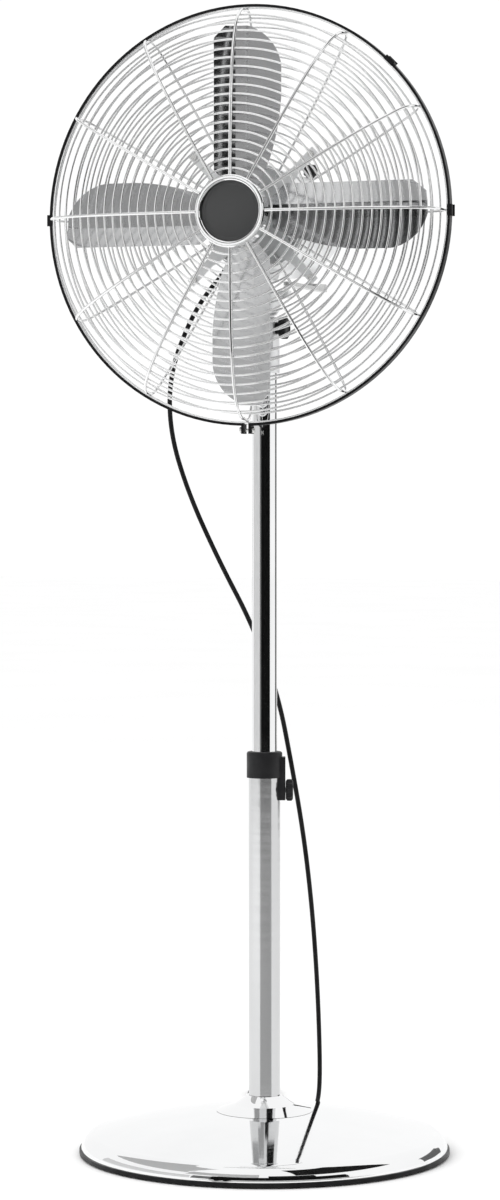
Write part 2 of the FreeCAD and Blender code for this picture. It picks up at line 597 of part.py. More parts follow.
# ---------------------------------------------------------------- rotor body
def blade_section():
    """Corners of a blade's folded sheet: its front side, then its back side. The three bends
    are parallel to the straight edge."""
    fold = [("-blade_straight", "-lead_drop"), ("-fold_left", "-fold_drop"),
            ("fold_right", "0"), ("blade_round", "tail_rise")]
    back = [(across, f"{behind} + blade_sheet") for across, behind in reversed(fold)]
    return fold + back


def make_blade(turn):
    """One blade: the folded sheet inside the blade's outline seen from the front."""
    folded = slab("XY_Plane", blade_section(), "blade_r + 1")
    shape = slab("XZ_Plane", [
        ("-blade_straight / 2", "blade_root"),
        ("blade_root_right", "blade_root", "blade_side_bend"),
        ("blade_round", "blade_r - blade_widest_below_tip", "blade_tip_bend"),
        ("blade_tip_right", "blade_r"), ("-blade_tip_left", "blade_r"),
        ("-blade_straight", "blade_r - blade_tip_corner"),
        ("-blade_straight", "blade_root + blade_root_corner")],
        "2 * (lead_drop + tail_rise)", both=True)
    return place(common(folded, shape), ("0", "blade_y", "axis_z"), Y_DIR, turn)


def make_arm(turn, clear):
    """One arm of the spider, which lies against the back of a blade's middle facet."""
    low = "blade_sheet"
    top = "blade_sheet + spider_thick"
    arm = slab("XY_Plane", [
        ("-fold_left", f"{low} - fold_drop"), ("fold_right", low), ("fold_right", top),
        ("-fold_left", f"{top} - fold_drop")], "spider_arm")
    return cut(place(arm, ("0", "blade_y", "axis_z"), Y_DIR, turn), clear)


def make_rivet(turn, number):
    """One rivet head on the front of a blade's middle facet."""
    head = doc.addObject("Part::Cylinder", "rivet")
    bind(head, Radius="rivet_r", Height="rivet_tall")
    lean = size("atan(fold_drop / (fold_left + fold_right))")
    flat = FreeCAD.Rotation(Z_DIR, lean) * FreeCAD.Rotation(X_DIR, 90)
    head.Placement = FreeCAD.Placement(VECTOR(0, 0, 0), flat)
    bind(head, Placement_Base_x="(fold_right - fold_left) / 2", Placement_Base_y="-fold_drop / 2",
         Placement_Base_z=f"rivet_first + rivet_pitch * {number}")
    return place(group(head), ("0", "blade_y", "axis_z"), Y_DIR, turn)


def make_rotor():
    """The shaft with its iron core and worm, and the four-bladed propeller."""
    centre = ("0", "0", "axis_z")
    worm = bar_y("worm_r", "drive_y - worm_half", "drive_y + worm_half")
    shaft = bar_y("shaft_r", "shaft_front", "drive_y + worm_half + shaft_past_worm")
    keep(fused(shaft, worm), "motor_shaft")
    keep(turned(hollow("core_r", "shaft_r", "core_front", "core_back"), "Y", centre), "rotor_core")
    hub_low = "blade_y - hub_lead"
    plate_low = f"{hub_low} + spider_thick"
    hub_top = "blade_y + hub_tail"
    hub = turned([
        ("shaft_r", hub_low), ("hub_sleeve_r", hub_low), ("hub_sleeve_r", plate_low),
        ("spider_r", plate_low), ("spider_r", f"{plate_low} + spider_thick"),
        ("hub_sleeve_r", f"{plate_low} + spider_thick"), ("hub_sleeve_r", hub_top),
        ("shaft_r", hub_top)], "Y", centre)
    sleeve = bar_y("hub_sleeve_r - 0.5", f"{hub_low} - 1", f"{hub_top} + 1")
    arms = []
    rivets = []
    count = int(size("blades"))
    for step in range(count):
        turn = str(360.0 * step / count)
        keep(make_blade(turn), f"blade_{step + 1}")
        arms.append(make_arm(turn, sleeve))
        rivets += [make_rivet(turn, number) for number in range(int(size("rivets_each")))]
    bore = bar_y("shaft_r", f"{hub_low} - 1", f"{hub_top} + 1")
    keep(cut(fused(hub, *arms), bore), "blade_spider")
    keep(group(*rivets), "blade_rivets")
    nose = "blade_y - spinner_long"
    spinner = turned([
        ("shaft_r", nose), ("spinner_r - spinner_nose + 1", f"{nose} - spinner_nose"),
        ("spinner_r", nose), ("spinner_r", hub_low), ("shaft_r", hub_low)], "Y", centre)
    keep(spinner, "blade_nut")


# ---------------------------------------------------------------- swing drive and knobs
def make_swing_drive():
    """The worm wheel with its crank, the link to the neck, and the knob that frees the drive."""
    where = ("drive_x", "drive_y")
    wheel = cylinder("wheel_r", "wheel_thick", (*where, "axis_z - wheel_thick / 2"))
    post = cylinder("drive_shaft_r", f"axis_z + wheel_thick - {CRANK_TOP}",
                    (*where, CRANK_TOP))
    keep(fused(wheel, post), "worm_wheel")
    disc_low = f"{CRANK_TOP} - crank_thick"
    disc = cylinder("crank_r", "crank_thick", (*where, disc_low))
    pin_x = "drive_x + throw"
    link_z = f"{disc_low} - link_gap - link_thick"
    pin = cylinder("crank_pin_r", "link_gap + link_thick", (pin_x, "drive_y", link_z))
    keep(fused(disc, pin), "swing_crank")
    eye_x = "lug_reach + link_play"
    run_x = size(f"{eye_x} - ({pin_x})")
    run_y = size("-drive_y")
    length = math.hypot(run_x, run_y)
    turn = math.degrees(math.atan2(run_y, run_x))
    strip = box(str(length), "link_wide", "link_thick",
                (f"{pin_x} + link_wide / 2 * sin({turn})",
                 f"drive_y - link_wide / 2 * cos({turn})", link_z), Z_DIR, str(turn))
    ends = [cylinder("link_wide / 2", "link_thick", (pin_x, "drive_y", link_z)),
            cylinder("link_wide / 2", "link_thick", (eye_x, "0", link_z))]
    eye = cylinder("link_eye_r", "link_thick + 2", (eye_x, "0", f"{link_z} - 1"))
    pin_way = cylinder("crank_pin_r + screw_gap", "link_thick + 2",
                       (pin_x, "drive_y", f"{link_z} - 1"))
    keep(cut(fused(strip, *ends), eye, pin_way), "swing_link")
    stem_low = "axis_z + wheel_thick + knob_sink"
    knob_top = f"{KNOB_LOW} + knob_tall"
    knob = turned([
        ("0", stem_low), ("knob_stem_r", stem_low), ("knob_stem_r", KNOB_LOW),
        ("knob_r * 0.7", KNOB_LOW), ("knob_r * 0.7", f"{KNOB_LOW} + knob_tall / 4"),
        ("knob_r", f"{KNOB_LOW} + knob_tall * 0.4"), ("knob_r", f"{knob_top} - knob_tall / 8"),
        ("knob_r * 0.75", knob_top), ("0", knob_top)], at=("drive_x", "drive_y", "0"))
    keep(knob, "swing_knob")
    stem_in = "motor_back - motor_wall + link_gap"
    dial = turned([
        ("0", stem_in), ("speed_stem_r", stem_in),
        ("speed_stem_r", "motor_back + link_gap"), ("speed_r", "motor_back + link_gap"),
        ("speed_r - 1", "motor_back + speed_tall"), ("0", "motor_back + speed_tall")],
        "Y", ("0", "0", "axis_z"))
    keep(dial, "speed_knob")


# ---------------------------------------------------------------- head body: guard
FRONT_POWER = 3.3
REAR_POWER = 2.8
SPOKE_POINTS = 9
CLIP_TURNS = (90.0, -90.0, 45.0)


class Cage:
    """One dished half of the wire guard. Its section is a superellipse: distance r from the
    fan's axis and depth d from the rim obey (r/R)^n + (d/D)^n = 1."""

    def __init__(self, rim_y, deep, power, way):
        self.reach = size("guard_r - band_thick - 2 * rim_wire_r - spoke_wire_r + weld")
        self.rim_y = rim_y
        self.deep = deep
        self.power = power
        self.way = way

    def depth(self, radius):
        """Depth of the spokes' centre line below the rim at a distance from the axis."""
        return self.deep * (1 - (radius / self.reach) ** self.power) ** (1 / self.power)

    def spoke_points(self, inner, count):
        """Points along a spoke from its inner end to the rim, as (radius, y)."""
        first = math.asin((inner / self.reach) ** (self.power / 2))
        points = []
        for step in range(count):
            angle = first + (math.pi / 2 - first) * step / (count - 1)
            radius = self.reach * math.sin(angle) ** (2 / self.power)
            depth = self.deep * max(math.cos(angle), 0.0) ** (2 / self.power)
            points.append((radius, self.rim_y + self.way * depth))
        return points

    def ring_place(self, radius):
        """Radius and y of a ring that is welded to the inside of the spokes."""
        depth = self.depth(radius)
        across = (radius / self.reach) ** (self.power - 1) / self.reach
        out = (depth / self.deep) ** (self.power - 1) / self.deep
        length = math.hypot(across, out)
        inset = size("spoke_wire_r + ring_wire_r - weld")
        return (radius - inset * across / length,
                self.rim_y + self.way * (depth - inset * out / length))


def torus(radius, wire, y):
    """A ring of round wire about the fan's axis."""
    return Part.makeTorus(radius, wire, VECTOR(0, y, size("axis_z")), Y_DIR)


def make_spokes(cage, inner, name):
    """The radial wires of one cage half, one solid each."""
    centre = size("axis_z")
    count = int(size("spokes"))
    path = [VECTOR(radius, y, 0) for radius, y in cage.spoke_points(inner, SPOKE_POINTS)]
    wire = rod(path, size("spoke_wire_r"))[0]
    wires = []
    for step in range(count):
        turn = FreeCAD.Rotation(Y_DIR, 360.0 * step / count)
        wires.append(wire.transformed(
            FreeCAD.Placement(VECTOR(0, 0, centre), turn).toMatrix(), True))
    shape_piece(Part.makeCompound(wires), name)


def make_guard():
    """The two wire cages, the band that clamps them, the hub plate and the rear bracket."""
    centre = ("0", "0", "axis_z")
    half = size("rim_apart") / 2
    wire_r = size("rim_wire_r")
    guard_y = size("guard_y")
    front_rim = guard_y - half + wire_r
    rear_rim = guard_y + half - wire_r
    front = Cage(front_rim, front_rim - guard_y + size("front_deep"), FRONT_POWER, -1)
    rear = Cage(rear_rim, size("rear_deep") - (rear_rim - guard_y), REAR_POWER, 1)
    rim_r = size("guard_r - band_thick - rim_wire_r")
    ring_r = size("ring_wire_r")
    last = size("guard_r - last_ring_inset")
    sets = (("front", front, size("hub_r + ring_clear"), int(size("front_rings")), guard_y - half),
            ("rear", rear, size("bracket_hub_r + rear_ring_clear"), int(size("rear_rings")), guard_y + half))
    sides = int(size("side_rings"))
    for word, cage, first, count, rim_y in sets:
        pitch = (last - first) / (count - 1)
        spots = [cage.ring_place(first + pitch * step) for step in range(count)]
        rings = [torus(radius, ring_r, y) for radius, y in spots]
        rings.append(torus(rim_r, wire_r, rim_y))
        if word == "front":
            shape_piece(Part.makeCompound(rings[:count - sides]), "front_guard_rings")
            shape_piece(Part.makeCompound(rings[count - sides:]), "front_guard_side_rings")
        else:
            shape_piece(Part.makeCompound(rings), "rear_guard_rings")
    make_spokes(front, size("hub_r"), "front_guard_spokes")
    make_spokes(rear, size("bracket_hub_r + 2"), "rear_guard_spokes")
    band = turned([
        ("guard_r - band_lip", "guard_y - band_half"), ("guard_r", "guard_y - band_half"),
        ("guard_r", "guard_y + band_half"), ("guard_r - band_lip", "guard_y + band_half"),
        ("guard_r - band_lip", "guard_y + band_half - band_thick"),
        ("guard_r - band_thick", "guard_y + band_half - band_thick"),
        ("guard_r - band_thick", "guard_y - band_half + band_thick"),
        ("guard_r - band_lip", "guard_y - band_half + band_thick")], "Y", centre)
    slot = box("clamp_slot", "2 * band_half + 2", "band_lip + 4",
               ("-clamp_slot / 2", "guard_y - band_half - 1", "axis_z - guard_r - 2"))
    low = "axis_z - guard_r - clamp_ear + 0.5"
    ears = [box("clamp_ear_thick", "2 * band_half", "clamp_ear",
                (start, "guard_y - band_half", low))
            for start in ("clamp_slot / 2", "-clamp_slot / 2 - clamp_ear_thick")]
    screw_z = "axis_z - guard_r - clamp_ear / 2"
    out = "clamp_slot / 2 + clamp_ear_thick"
    screw_way = bar_x("ring_screw_r", f"-({out}) - 1", f"{out} + 1", "guard_y", screw_z)
    keep(cut(fused(cut(band, slot), *ears), screw_way), "guard_band")
    head_x = f"-({out}) - ring_screw_head"
    nut_x = f"{out} + ring_nut_thick"
    screw = turned([
        (head_x, "0"), (f"{nut_x} + 0.6", "0"), (f"{nut_x} + 0.6", "ring_screw_r"),
        (f"-({out})", "ring_screw_r"), (f"-({out})", "2 * ring_screw_r"),
        (head_x, "2 * ring_screw_r")], "X", ("0", "guard_y", screw_z))
    nut = cut(bar_x("2 * ring_screw_r", out, nut_x, "guard_y", screw_z),
              bar_x("ring_screw_r", out, nut_x, "guard_y", screw_z))
    clips = []
    for turn in CLIP_TURNS:
        clip = box("clip_wide", "2 * band_half + 2 * clip_thick", "clip_thick",
                   ("-clip_wide / 2", "-band_half - clip_thick", "guard_r"))
        hook = box("clip_wide", "clip_thick", "clip_thick * 2 + clip_hook",
                   ("-clip_wide / 2", "-band_half - clip_thick", "guard_r - clip_hook"))
        tail = box("clip_wide", "clip_thick", "clip_thick * 2 + clip_hook",
                   ("-clip_wide / 2", "band_half", "guard_r - clip_hook"))
        clips.append(place(fused(clip, hook, tail), ("0", "guard_y", "axis_z"), Y_DIR, str(turn)))
    keep(group(*clips), "guard_clips")
    hub = turned([
        ("hub_bore_r", "hub_back"), ("hub_bore_r", "hub_face + hub_round", "-1.5 * hub_round"),
        ("hub_bore_r + hub_round", "hub_face"), ("hub_r - hub_round", "hub_face", "-1.5 * hub_round"),
        ("hub_r", "hub_face + hub_round"), ("hub_r", "hub_back")], "Y", centre)
    plate = bar_y("hub_r", "hub_back", "hub_back + hub_plate_thick")
    keep(fused(hub, plate), "guard_hub_ring")
    badge_y = "hub_face + badge_sink"
    keep(bar_y("hub_bore_r", badge_y, f"{badge_y} + badge_thick"), "guard_badge")
    bracket_back = "motor_front - bracket_gap"
    bracket_front = f"{bracket_back} - bracket_thick"
    hub_ring = turned(hollow("bracket_hub_r", "bracket_bore_r", bracket_front, bracket_back), "Y",
                      centre)
    arms = []
    for step in range(4):
        arm = slab("XZ_Plane", [
            ("-arm_root_wide / 2", "bracket_hub_r - arm_lap"),
            ("arm_root_wide / 2", "bracket_hub_r - arm_lap"),
            ("arm_tip_wide / 2", "arm_reach - arm_taper_long"), ("arm_tip_wide / 2", "arm_reach"),
            ("-arm_tip_wide / 2", "arm_reach"), ("-arm_tip_wide / 2", "arm_reach - arm_taper_long")],
            "bracket_thick")
        arms.append(place(arm, ("0", bracket_back, "axis_z"), Y_DIR, str(45.0 + 90.0 * step)))
    spacer = turned(hollow("bracket_hub_r - 1", "bracket_bore_r", bracket_back, "motor_front"),
                    "Y", centre)
    keep(fused(hub_ring, spacer, *arms), "guard_bracket")
    heads = [screw, nut]
    for ring, start in (("bracket_screw_ring", 0.0), ("arm_reach - arm_screw_inset", 45.0)):
        for step in range(4):
            angle = start + 90.0 * step
            heads.append(bar_y("bracket_screw_r", f"{bracket_front} - bracket_screw_tall", bracket_front,
                               polar_x(ring, angle), "axis_z + " + polar_y(ring, angle)))
    keep(group(*heads), "guard_screws")


# ---------------------------------------------------------------- cord, hank and plug
# The hanging stretch, as (across, behind, up) in the frame turned by cord_turn about +Z. It
# follows two points on the line of the strain relief.
CORD_ROUTE = [
    (-81, 52, 902), (-103, 62, 846), (-104, 68, 783), (-84, 70, 715), (-50, 60, 640),
    (-13, 42, 570), (15, 34, 494), (30, 40, 416), (43, 60, 340), (52, 88, 265), (58, 120, 192),
    (62, 152, 118), (64, 184, 50), (62, 206, 18), (56, 234, 3), (41, 259, 2.7), (16, 270, 2.7),
]


def cord_frame(across, behind, up):
    """A point of the cord's turned frame in the fan's own frame."""
    turn = math.radians(size("cord_turn"))
    return VECTOR(across * math.cos(turn) - behind * math.sin(turn),
                  across * math.sin(turn) + behind * math.cos(turn), up)


def turned_spot(across, behind, up):
    """Expressions for a point of the cord's turned frame in the fan's own frame."""
    return (f"({across}) * cos(cord_turn) - ({behind}) * sin(cord_turn)",
            f"({across}) * sin(cord_turn) + ({behind}) * cos(cord_turn)", up)


def cord_block(wide, tall, bend):
    """A block as long as the hank, with its upright and its top edges rounded."""
    block = box(wide, "hank_long", tall, turned_spot(f"-({wide}) / 2", "hank_start", "0"),
                Z_DIR, "cord_turn")
    rounded = doc.addObject("Part::Fillet", "rounded")
    rounded.Base = block
    doc.recompute()
    radius = size(bend)
    rounded.Edges = [(number, radius, radius)
                     for number, edge in enumerate(block.Shape.Edges, start=1)
                     if abs(edge.tangentAt(edge.FirstParameter).z) > 0.9
                     or edge.CenterOfMass.z > size(tall) - 0.1]
    return rounded


def plug_bar(radius, start, stop, across="0"):
    """A round bar at the plug's height that points away from the mast."""
    bar = doc.addObject("Part::Cylinder", "bar")
    bind(bar, Radius=radius, Height=f"({stop}) - ({start})")
    turn = FreeCAD.Rotation(Z_DIR, size("cord_turn")) * FreeCAD.Rotation(X_DIR, -90)
    bar.Placement = FreeCAD.Placement(VECTOR(0, 0, 0), turn)
    spot = turned_spot(across, start, "plug_tall / 2")
    bind(bar, Placement_Base_x=spot[0], Placement_Base_y=spot[1], Placement_Base_z=spot[2])
    return bar


def make_cord():
    """The hanging cord, the tied hank of spare cord behind the base, and the plug."""
    lean = math.radians(size("relief_turn"))
    points = []
    for reach in (size("motor_r + relief_long"), size("motor_r + relief_long + first_run")):
        points.append(VECTOR(reach * math.sin(lean), size("relief_y"),
                             size("axis_z") + reach * math.cos(lean)))
    points += [cord_frame(*spot) for spot in CORD_ROUTE]
    radius = size("cord_r")
    solid, wire, radii = rod(points, radius)
    shape_piece(solid, "power_cord")
    share = solid.Volume / (math.pi * radius ** 2 * wire.Length)
    print("cord radii", [round(value) for value in radii])
    print("cord length", round(wire.Length), "volume share", round(share, 4))
    hank = cord_block("hank_wide", "hank_tall", "hank_round")
    bundle = cord_block("hank_wide - 2 * tie_thick", "hank_tall - tie_thick",
                        "hank_round - tie_thick")
    box_end = "hank_start + hank_long"
    hank_end = f"{box_end} + hank_tail"
    middle = f"{box_end} - tie_back"
    tie_hole = box("hank_wide", "tie_wide", "hank_tall", turned_spot("-hank_wide / 2", middle, "0"),
                   Z_DIR, "cord_turn")
    tie = cut(common(hank, tie_hole), bundle)
    tail = plug_bar("cord_r", f"{box_end} - 1", hank_end)
    keep(fused(cut(hank, tie), tail), "cord_hank")
    keep(tie, "hank_tie")
    nose = doc.addObject("Part::Cone", "nose")
    bind(nose, Radius1="cord_r + 1", Radius2="plug_tall / 2 - 1", Height="nose_long")
    turn = FreeCAD.Rotation(Z_DIR, size("cord_turn")) * FreeCAD.Rotation(X_DIR, -90)
    nose.Placement = FreeCAD.Placement(VECTOR(0, 0, 0), turn)
    spot = turned_spot("0", hank_end, "plug_tall / 2")
    bind(nose, Placement_Base_x=spot[0], Placement_Base_y=spot[1], Placement_Base_z=spot[2])
    grip = box("plug_wide", "plug_long", "plug_tall",
               turned_spot("-plug_wide / 2", f"{hank_end} + nose_long", "0"), Z_DIR, "cord_turn")
    keep(fused(nose, grip), "plug_body")
    pin_start = f"{hank_end} + nose_long + plug_long"
    pins = [plug_bar("pin_r", pin_start, f"{pin_start} + pin_long", f"pin_apart * {side}")
            for side in (-0.5, 0.5)]
    keep(group(*pins), "plug_pins")


make_base()
make_clamp()
make_mast()
make_neck()
make_motor()
make_rotor()
make_swing_drive()
make_guard()
make_cord()
doc.recompute()

for item in doc.Objects:
    if "Invalid" in item.State or "Error" in item.State:
        raise RuntimeError(f"{item.Name} of type {item.TypeId} failed: {item.State}")
for name, thing in PIECES:
    if thing.Shape.isNull() or not thing.Shape.isValid() or thing.Shape.Volume <= 0:
        raise RuntimeError(f"{name} has no valid solid")
for name, thing in PIECES:
    thing.Shape.exportStep(f"parts/{name}.step")
    print(name, round(thing.Shape.Volume / 1000, 2), "cm3", len(thing.Shape.Solids), "solids")
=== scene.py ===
"""Looks of a pedestal fan: its finishes, its turned and moulded trim, its power cord, and the
studio it stands in. Metres; the fan stands on z = 0 and blows towards -Y."""

import logging
import math
from dataclasses import dataclass
from enum import Enum
from typing import Any, ClassVar, Union

import bmesh
import bpy
import numpy as np
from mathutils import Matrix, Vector


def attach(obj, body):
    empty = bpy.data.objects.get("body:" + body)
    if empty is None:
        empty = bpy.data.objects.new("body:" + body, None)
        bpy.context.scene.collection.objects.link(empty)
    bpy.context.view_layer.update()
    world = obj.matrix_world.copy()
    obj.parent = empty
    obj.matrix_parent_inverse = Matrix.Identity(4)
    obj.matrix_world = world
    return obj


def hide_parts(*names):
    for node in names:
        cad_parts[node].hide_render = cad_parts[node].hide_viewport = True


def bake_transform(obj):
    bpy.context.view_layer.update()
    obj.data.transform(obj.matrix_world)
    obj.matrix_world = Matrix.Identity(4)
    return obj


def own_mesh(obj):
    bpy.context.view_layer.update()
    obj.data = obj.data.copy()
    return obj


LOG = logging.getLogger("pedestal_fan")

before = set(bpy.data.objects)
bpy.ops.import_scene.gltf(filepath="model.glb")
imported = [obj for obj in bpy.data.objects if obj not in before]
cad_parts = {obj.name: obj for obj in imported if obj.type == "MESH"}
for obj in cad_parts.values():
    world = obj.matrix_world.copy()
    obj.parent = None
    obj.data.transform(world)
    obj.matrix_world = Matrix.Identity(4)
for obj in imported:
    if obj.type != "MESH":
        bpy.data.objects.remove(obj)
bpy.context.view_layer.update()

Rgb = tuple[float, float, float]
Spot = tuple[float, float, float]
Pair = tuple[float, float]
Socket = bpy.types.NodeSocket
Value = Union[Socket, float, str, Rgb]

AXIS: Spot = (0.0, 0.0, 1.006)  # the fan's axis, along Y, at the motor's middle
SIDE_TURN = 17.8                # turn of the height clamp, and of the plane the cord hangs in
RELIEF_TURN = 225.0             # way that the strain relief points, from +Z towards +X
RELIEF_Y = 0.025                # its place along the motor
RELIEF_END = 0.081              # reach of its tip from the axis


# ------------------------------------------------------------------ material recipes
def darker(tone: Rgb, share: float) -> Rgb:
    """A tone times a share of 0 to 1."""
    return tuple(share * part for part in tone)


class Recipe:
    """A material under construction: one principled shader and the nodes that feed it."""

    def __init__(self, name: str) -> None:
        """Start a material whose patterns are laid out on object coordinates.

        Args:
            name: the material's name.
        """
        self.material = bpy.data.materials.new(name)
        self.material.use_nodes = True
        self.tree = self.material.node_tree
        self.shader = self.tree.nodes["Principled BSDF"]
        self.place = self.add("ShaderNodeTexCoord").outputs["Object"]

    def add(self, kind: str, inputs: dict[str | int, Value] | None = None,
            **settings: Any) -> bpy.types.Node:
        """Add a node.

        Args:
            kind: the node's type.
            inputs: socket names with a plain value or another node's output.
            settings: properties of the node itself.

        Returns:
            The new node.
        """
        node = self.tree.nodes.new(kind)
        for word, value in settings.items():
            setattr(node, word, value)
        for word, value in (inputs or {}).items():
            self.join(node.inputs[word], value)
        return node

    def join(self, socket: Socket, value: Value) -> None:
        """Link an output to a socket, or set the socket's own value.

        Args:
            socket: the input.
            value: another node's output, or a plain value.
        """
        if isinstance(value, Socket):
            self.tree.links.new(value, socket)
        else:
            socket.default_value = value

    def stretched(self, scale: Spot, move: Spot = (0, 0, 0)) -> Socket:
        """Coordinates with the pattern's frequency set apart along X, Y and Z.

        Args:
            scale: multiplier along each axis.
            move: shift that is applied before the scale.

        Returns:
            The scaled coordinates.
        """
        shifted = self.add("ShaderNodeVectorMath", {0: self.place, 1: move})
        return self.add("ShaderNodeVectorMath", {0: shifted.outputs[0], 1: scale},
                        operation="MULTIPLY").outputs[0]

    def noise(self, scale: float, detail: float = 3.0, where: Socket | None = None) -> Socket:
        """Cloudy noise from 0 to 1, in patches per metre with octaves of finer detail."""
        return self.add("ShaderNodeTexNoise", {
            "Vector": where or self.place, "Scale": scale, "Detail": detail}).outputs["Fac"]

    def spread(self, source: Socket, low: float, high: float,
               start: float = 0.3, stop: float = 0.7) -> Socket:
        """A source's useful part, start to stop, mapped on low to high.

        Args:
            source: value to map.
            low: result at start.
            high: result at stop.
            start: lowest value of the source that counts.
            stop: highest value of the source that counts.

        Returns:
            The mapped value.
        """
        return self.add("ShaderNodeMapRange", {
            "Value": source, "From Min": start, "From Max": stop, "To Min": low,
            "To Max": high}).outputs["Result"]

    def tint(self, source: Socket, dark: Rgb, light: Rgb) -> None:
        """Colour the shader between two tones along a value.

        Args:
            source: value from 0 to 1.
            dark: tone at 0.3 and under.
            light: tone at 0.7 and over.
        """
        ramp = self.add("ShaderNodeValToRGB", {"Fac": source})
        for stop, place, tone in zip(ramp.color_ramp.elements, (0.3, 0.7), (dark, light)):
            stop.position = place
            stop.color = (*tone, 1.0)
        self.join(self.shader.inputs["Base Color"], ramp.outputs["Color"])

    def combine(self, word: str, first: Socket, second: Value = 0.5) -> Socket:
        """Two values combined by the named operation."""
        return self.add("ShaderNodeMath", {0: first, 1: second}, operation=word).outputs[0]

    def plain(self, **values: float) -> None:
        """Set sockets of the shader to plain values, with _ for a space in a socket's name."""
        for word, value in values.items():
            self.shader.inputs[word.replace("_", " ")].default_value = value

    def rough(self, source: Socket) -> None:
        """Drive the shader's roughness."""
        self.join(self.shader.inputs["Roughness"], source)

    def relief(self, source: Socket, depth: float, strength: float = 1.0) -> None:
        """Raise the surface by a value, the latest relief on top of the one before.

        Args:
            source: height from 0 to 1.
            depth: height of 1 in metres.
            strength: share of the effect.
        """
        bump = self.add("ShaderNodeBump", {
            "Height": source, "Distance": depth, "Strength": strength})
        normal = self.shader.inputs["Normal"]
        if normal.is_linked:
            self.join(bump.inputs["Normal"], normal.links[0].from_socket)
        self.join(normal, bump.outputs["Normal"])

    def radius(self, centre: Spot) -> Socket:
        """Distance in metres from an axis that runs along Y through a point."""
        flat = self.stretched((1.0, 0.0, 1.0), move=(-centre[0], -centre[1], -centre[2]))
        return self.add("ShaderNodeVectorMath", {0: flat}, operation="LENGTH").outputs["Value"]

    def wave(self, source: Socket, pitch: float) -> Socket:
        """A sine of a distance, from -1 to 1, with one wave to each pitch in metres."""
        return self.combine("SINE", self.combine("MULTIPLY", source, 2 * math.pi / pitch))


class Finish:
    """A finish that makes its material once and hands it to each piece that has it."""

    name: str
    made: ClassVar[dict[str, bpy.types.Material]] = {}

    def material(self) -> bpy.types.Material:
        """The finish's material, made at its first use.

        Returns:
            The material.
        """
        if self.name not in Finish.made:
            recipe = Recipe(self.name)
            self.mix(recipe)
            Finish.made[self.name] = recipe.material
        return Finish.made[self.name]

    def mix(self, recipe: Recipe) -> None:
        """Set the recipe's nodes. Each finish has its own."""
        raise NotImplementedError


@dataclass(frozen=True)
class Plate(Finish):
    """Polished plate: nearly a mirror, with faint haze, wipe marks and a few dull specks."""

    name: str
    tone: Rgb
    haze: float

    def mix(self, recipe: Recipe) -> None:
        """Metal whose roughness drifts in broad patches and along fine wipe marks.

        Args:
            recipe: the recipe of the finish's material.
        """
        recipe.plain(Metallic=1.0)
        broad = recipe.noise(9.0, 4.0)
        recipe.tint(broad, darker(self.tone, 0.955), self.tone)
        wipes = recipe.noise(24.0, 3.0, recipe.stretched((1.0, 1.0, 9.0)))
        blend = recipe.combine("MULTIPLY", broad, wipes)
        recipe.rough(recipe.spread(blend, self.haze * 0.6, self.haze * 1.7, 0.12, 0.42))
        recipe.relief(recipe.noise(38.0, 1.0), depth=0.00004, strength=0.35)


@dataclass(frozen=True)
class BladeSheet(Finish):
    """Buffed aluminium sheet: fine arcs left by the wheel, and soft cloudy wear."""

    name: str
    tone: Rgb
    centre: Spot
    haze: float = 0.11

    def mix(self, recipe: Recipe) -> None:
        """Metal with arcs about the fan's axis in its colour and relief, and cloudy roughness.

        Args:
            recipe: the recipe of the finish's material.
        """
        recipe.plain(Metallic=1.0, Anisotropic=0.35)
        reach = recipe.radius(self.centre)
        cloud = recipe.noise(16.0, 4.0)
        across = recipe.add("ShaderNodeCombineXYZ", {"X": reach})
        arcs = recipe.noise(380.0, 4.0, across.outputs["Vector"])
        recipe.tint(arcs, darker(self.tone, 0.9), self.tone)
        recipe.rough(recipe.spread(cloud, self.haze * 0.85, self.haze * 1.2))
        recipe.relief(arcs, depth=0.000003, strength=0.5)


@dataclass(frozen=True)
class SilverPaint(Finish):
    """Smooth silver paint: tiny metal flakes under a thin clear coat."""

    name: str
    tone: Rgb

    def mix(self, recipe: Recipe) -> None:
        """Half-metal colour with flakes, orange peel and a coat.

        Args:
            recipe: the recipe of the finish's material.
        """
        recipe.plain(Metallic=0.55, Coat_Weight=0.3, Coat_Roughness=0.12)
        flakes = recipe.add("ShaderNodeTexVoronoi", {"Vector": recipe.place, "Scale": 2600.0})
        shade = recipe.spread(flakes.outputs["Distance"], 0.3, 0.7, 0.0, 0.9)
        recipe.tint(shade, darker(self.tone, 0.86), self.tone)
        recipe.rough(recipe.spread(recipe.noise(40.0), 0.28, 0.42))
        recipe.relief(recipe.noise(420.0, 2.0), depth=0.00003, strength=0.3)


@dataclass(frozen=True)
class Moulding(Finish):
    """Moulded plastic or rubber with a fine spark-eroded grain and rubbed high spots."""

    name: str
    tone: Rgb
    rough_low: float
    rough_high: float
    grain: float = 0.00005
    shine: float = 0.5

    def mix(self, recipe: Recipe) -> None:
        """Grain of small cells over slow drifts of tone and gloss.

        Args:
            recipe: the recipe of the finish's material.
        """
        recipe.plain(Specular_IOR_Level=self.shine)
        cells = recipe.add("ShaderNodeTexVoronoi", {"Vector": recipe.place, "Scale": 1500.0})
        drift = recipe.noise(55.0, 4.0)
        lighter = tuple(1.45 * part + 0.004 for part in self.tone)
        recipe.tint(drift, self.tone, lighter)
        recipe.rough(recipe.spread(drift, self.rough_high, self.rough_low))
        recipe.relief(cells.outputs["Distance"], self.grain, strength=0.6)


